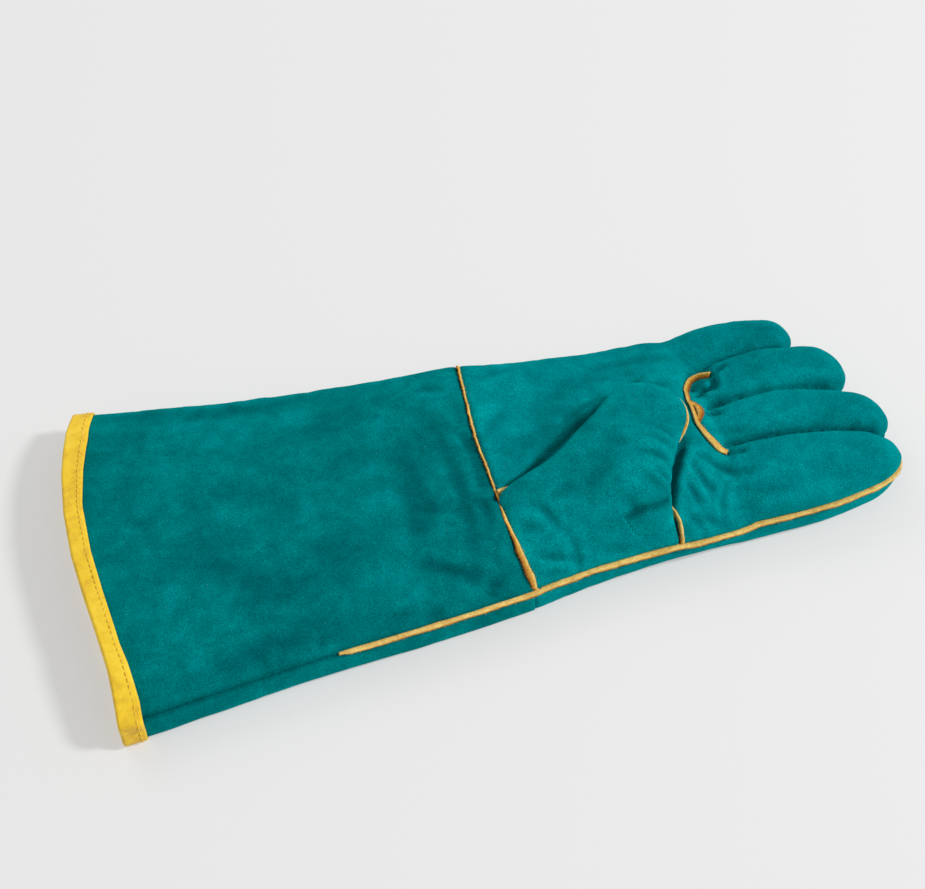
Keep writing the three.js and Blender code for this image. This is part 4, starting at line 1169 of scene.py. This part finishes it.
def leatherMaterial(name, dark, middle, light, lint, sheenTint, scales, bump):
    made, nodes, join, shader, fibres = startMaterial(name, 0.95, 0, scales)
    shader.inputs["Sheen Weight"].default_value = 0.3
    shader.inputs["Sheen Roughness"].default_value = 0.45
    shader.inputs["Sheen Tint"].default_value = sheenTint
    tones = ramp(nodes, [(0.3, dark), (0.5, middle), (0.7, light)])
    join(fibres.outputs["Cloud"], tones.inputs["Fac"])
    fine = ramp(nodes, [(0.36, (0.6, 0.6, 0.6, 1)), (0.64, (1.38, 1.38, 1.38, 1))])
    join(fibres.outputs["Fibre"], fine.inputs["Fac"])
    napped = multiplied(nodes, join, tones.outputs["Color"], fine.outputs["Color"])
    # painted shade: the seam attribute multiplies the colour darker in seams, gaps and crevices
    seamShadeFactor = nodes.new("ShaderNodeAttribute")
    seamShadeFactor.attribute_name = "seam"
    shade = nodes.new("ShaderNodeMix")
    shade.data_type, shade.blend_type = "RGBA", "MULTIPLY"
    shade.inputs["B"].default_value = (0.45, 0.5, 0.52, 1)
    join(seamShadeFactor.outputs["Fac"], shade.inputs["Factor"])
    join(napped, shade.inputs["A"])
    # painted shade and highlight: deep creases are darkened and the raised banks beside them lightened in colour
    creaseShadeDepth = nodes.new("ShaderNodeAttribute")
    creaseShadeDepth.attribute_name = "fold"
    creaseLightAndShade = ramp(nodes, [(0.0, (1.1, 1.1, 1.1, 1)), (0.25, (1, 1, 1, 1)), (1.0, (0.7, 0.72, 0.74, 1))])
    lifted = nodes.new("ShaderNodeMath")
    lifted.operation, lifted.inputs[1].default_value = "ADD", 0.25
    join(creaseShadeDepth.outputs["Fac"], lifted.inputs[0])
    join(lifted.outputs[0], creaseLightAndShade.inputs["Fac"])
    folded = multiplied(nodes, join, shade.outputs["Result"], creaseLightAndShade.outputs["Color"])
    dust = ramp(nodes, [(0.80, (0, 0, 0, 1)), (0.83, (1, 1, 1, 1))])
    join(fibres.outputs["Speck"], dust.inputs["Fac"])
    last = nodes.new("ShaderNodeMix")
    last.data_type = "RGBA"
    last.inputs["B"].default_value = lint
    join(dust.outputs["Color"], last.inputs["Factor"])
    join(folded, last.inputs["A"])
    join(last.outputs["Result"], shader.inputs["Base Color"])
    relieved(nodes, join, shader, fibres, bump, 0.8)
    return made


suedes = {  # darkest, middle and lightest tone of each panel's leather
    "cuff": ((0, 92, 94), (0, 114, 116), (0, 136, 138)), "hand": ((0, 104, 108), (0, 127, 131), (0, 150, 154)),
    "thumb": ((0, 106, 109), (0, 130, 133), (0, 154, 157)),
}
cuffSuede, handSuede, thumbSuede = [
    leatherMaterial(f"teal_suede_{name}", *(colour(*tone) for tone in tones), colour(120, 190, 184), (0, 0.8, 0.82, 1),
                    (30, 1500, 900), 0.0006) for name, tones in suedes.items()]


def weltMaterial():
    made, nodes, join, shader, fibres = startMaterial("yellow_welt", 0.85, 0.25, (120, 2200, 700))
    # painted shade and highlight: dark orange at a strip's feet, where shadow lines lie, pale on its top and lit side
    face = nodes.new("ShaderNodeAttribute")
    face.attribute_name = "edge"
    weltLightAndShade = ramp(nodes, [(0.28, colour(166, 96, 18)), (0.7, colour(232, 180, 78)), (0.92, colour(250, 218, 134))])
    join(face.outputs["Fac"], weltLightAndShade.inputs["Fac"])
    tone = ramp(nodes, [(0.36, colour(214, 196, 170)), (0.62, colour(255, 255, 250))])
    join(fibres.outputs["Cloud"], tone.inputs["Fac"])
    join(multiplied(nodes, join, weltLightAndShade.outputs["Color"], tone.outputs["Color"]), shader.inputs["Base Color"])
    relieved(nodes, join, shader, fibres, 0.0003)
    return made


def bindingMaterial():
    made, nodes, join, shader, fibres = startMaterial("yellow_tape", 0.8, 0.25, (60, 1100, 300))
    shader.inputs["Sheen Weight"].default_value = 0.15
    tone = ramp(nodes, [(0.36, colour(222, 176, 44)), (0.5, colour(246, 204, 44)), (0.66, colour(254, 218, 62))])
    join(fibres.outputs["Cloud"], tone.inputs["Fac"])
    join(tone.outputs["Color"], shader.inputs["Base Color"])
    relieved(nodes, join, shader, fibres, 0.00025)
    return made


def threadMaterial(name, light, dark):  # fine fibres, uneven in tone
    made, nodes, join, shader, fibres = startMaterial(name, 0.75, 0.15, (300, 2600, 900))
    tone = ramp(nodes, [(0.38, colour(*dark)), (0.6, colour(*light))])
    join(fibres.outputs["Cloud"], tone.inputs["Fac"])
    join(tone.outputs["Color"], shader.inputs["Base Color"])
    return made


yellow, tape = weltMaterial(), bindingMaterial()
threadFinish = threadMaterial("stitch_thread", (246, 208, 78), (222, 178, 50))
fibreFinish = threadMaterial("welt_fibre", (232, 184, 92), (176, 118, 40))

stitchRing = bindingPoints(hem["stitchSpots"], [(hem["stitchFromEdge"], hem["gap"] + hem["thick"] + 0.05)])[0]
stitchRing[:, 2] = np.maximum(stitchRing[:, 2], hem["stitchFloor"])
stitches = curveObject("hem_stitches", stitchRing, True)
stitchRow = grown("hem_stitches", stitches, stitchTree(), {
    "Pitch": hem["stitchPitch"] / 1000, "Length": hem["stitchLength"] / 1000, "Thread": hem["threadWidth"] / 1000,
    "Material": threadFinish})
bpy.data.objects.remove(stitches)
fuzzTree = fibreTree()
# fibres to the square metre on each welt, and their length and thickness in metres
fuzzLook = {"Length": 0.0011, "Thickness": 0.00006, "Material": fibreFinish}
fuzzy = [(nearWelt, 6e5), (farWelt, 6e5), (wristWelt, 1.6e6), (fingerWelt, 8e5), (baseWelt, 8e5), (thumbWelt, 4e5)]
fuzz = [grown(f"{obj.name}_fuzz", obj, fuzzTree, {**fuzzLook, "Density": density, "Seed": seed})
        for seed, (obj, density) in enumerate(fuzzy)]
print("stitches and fibres made")


pieces = [
    (cuffPalm, cuffSuede, "suede", ["cuff_palm"]), (cuffBack, cuffSuede, "suede", ["cuff_back"]),
    (palm, handSuede, "suede", ["palm"]), (fronts, handSuede, "suede", ["finger_fronts"]),
    (handBack, handSuede, "suede", ["hand_back"]),
    (thumbUpper, thumbSuede, "suede", ["thumb_upper"]), (thumbUnder, thumbSuede, "suede", ["thumb_under"]),
    (binding, tape, "binding", ["hem_binding"]), (stitchRow, threadFinish, "binding", []),
    (nearWelt, yellow, "piping", ["side_welt_near"]), (farWelt, yellow, "piping", ["side_welt_far"]),
    (wristWelt, yellow, "piping", ["wrist_welt"]), (fingerWelt, yellow, "piping", ["finger_welt"]),
    (baseWelt, yellow, "piping", ["thumb_base_welt"]), (thumbWelt, yellow, "piping", ["thumb_welt"]),
] + [(obj, fibreFinish, "piping", []) for obj in fuzz]
for obj, finish, slot, nodes in pieces:
    obj.data.materials.clear()
    obj.data.materials.append(finish)
    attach(obj, "root")
    if nodes:
        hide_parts(*nodes)
for obj in (handSkin, thumbSkin):
    bpy.data.objects.remove(obj)


studio = {
    "target": (-4.45, 38.7, 0), "distance": 783.1, "azimuth": -14.5, "elevation": 50, "focal": 1520, "width": 925,
    "sensor": 36, "floorTone": (178, 178, 178), "floorGlow": 0.372, "floorReach": 6, "sky": 0.48,
    "key": 90, "keyAt": (2.6, -0.85, 2.25), "keySize": 0.62, "fill": 7, "fillAt": (-0.9, 1.5, 1.5), "fillSize": 1.2,
}


def makeFloor():  # a plain pale sheet that glows a little, as in the photo
    mesh = bpy.data.meshes.new("studio_floor")
    r = studio["floorReach"]
    mesh.from_pydata([(-r, -r, 0), (r, -r, 0), (r, r, 0), (-r, r, 0)], [], [(0, 1, 2, 3)])
    obj = bpy.data.objects.new("studio_floor", mesh)
    bpy.context.collection.objects.link(obj)
    made = bpy.data.materials.new("pale_floor")
    made.use_nodes = True
    shader = made.node_tree.nodes["Principled BSDF"]
    shader.inputs["Base Color"].default_value = colour(*studio["floorTone"])
    shader.inputs["Roughness"].default_value = 0.9
    shader.inputs["Specular IOR Level"].default_value = 0
    shader.inputs["Emission Color"].default_value = (1, 1, 1, 1)
    shader.inputs["Emission Strength"].default_value = studio["floorGlow"]
    mesh.materials.append(made)


def areaLight(name, place, size, power):
    data = bpy.data.lights.new(name, "AREA")
    data.shape, data.size, data.energy = "DISK", size, power
    obj = bpy.data.objects.new(name, data)
    obj.location = place
    obj.rotation_mode = "QUATERNION"
    obj.rotation_quaternion = (-Vector(place)).to_track_quat("-Z", "Y")
    bpy.context.collection.objects.link(obj)


def makeCamera():
    data = bpy.data.cameras.new("camera")
    data.sensor_width = studio["sensor"]
    data.lens = studio["focal"] * studio["sensor"] / studio["width"]
    data.clip_start, data.clip_end = 0.01, 50
    a, e = math.radians(studio["azimuth"]), math.radians(studio["elevation"])
    back = Vector((math.sin(a) * math.cos(e), -math.cos(a) * math.cos(e), math.sin(e)))
    obj = bpy.data.objects.new("camera", data)
    obj.location = (Vector(studio["target"]) + back * studio["distance"]) / 1000
    obj.rotation_mode = "QUATERNION"
    obj.rotation_quaternion = (-back).to_track_quat("-Z", "Y")
    bpy.context.collection.objects.link(obj)
    bpy.context.scene.camera = obj


makeFloor()
makeCamera()
areaLight("key_light", studio["keyAt"], studio["keySize"], studio["key"])
areaLight("fill_light", studio["fillAt"], studio["fillSize"], studio["fill"])
world = bpy.data.worlds.new("studio")
world.use_nodes = True
world.node_tree.nodes["Background"].inputs["Color"].default_value = (1, 1, 1, 1)
world.node_tree.nodes["Background"].inputs["Strength"].default_value = studio["sky"]
bpy.context.scene.world = world
bpy.context.scene.view_settings.view_transform = "Standard"
print("studio made")
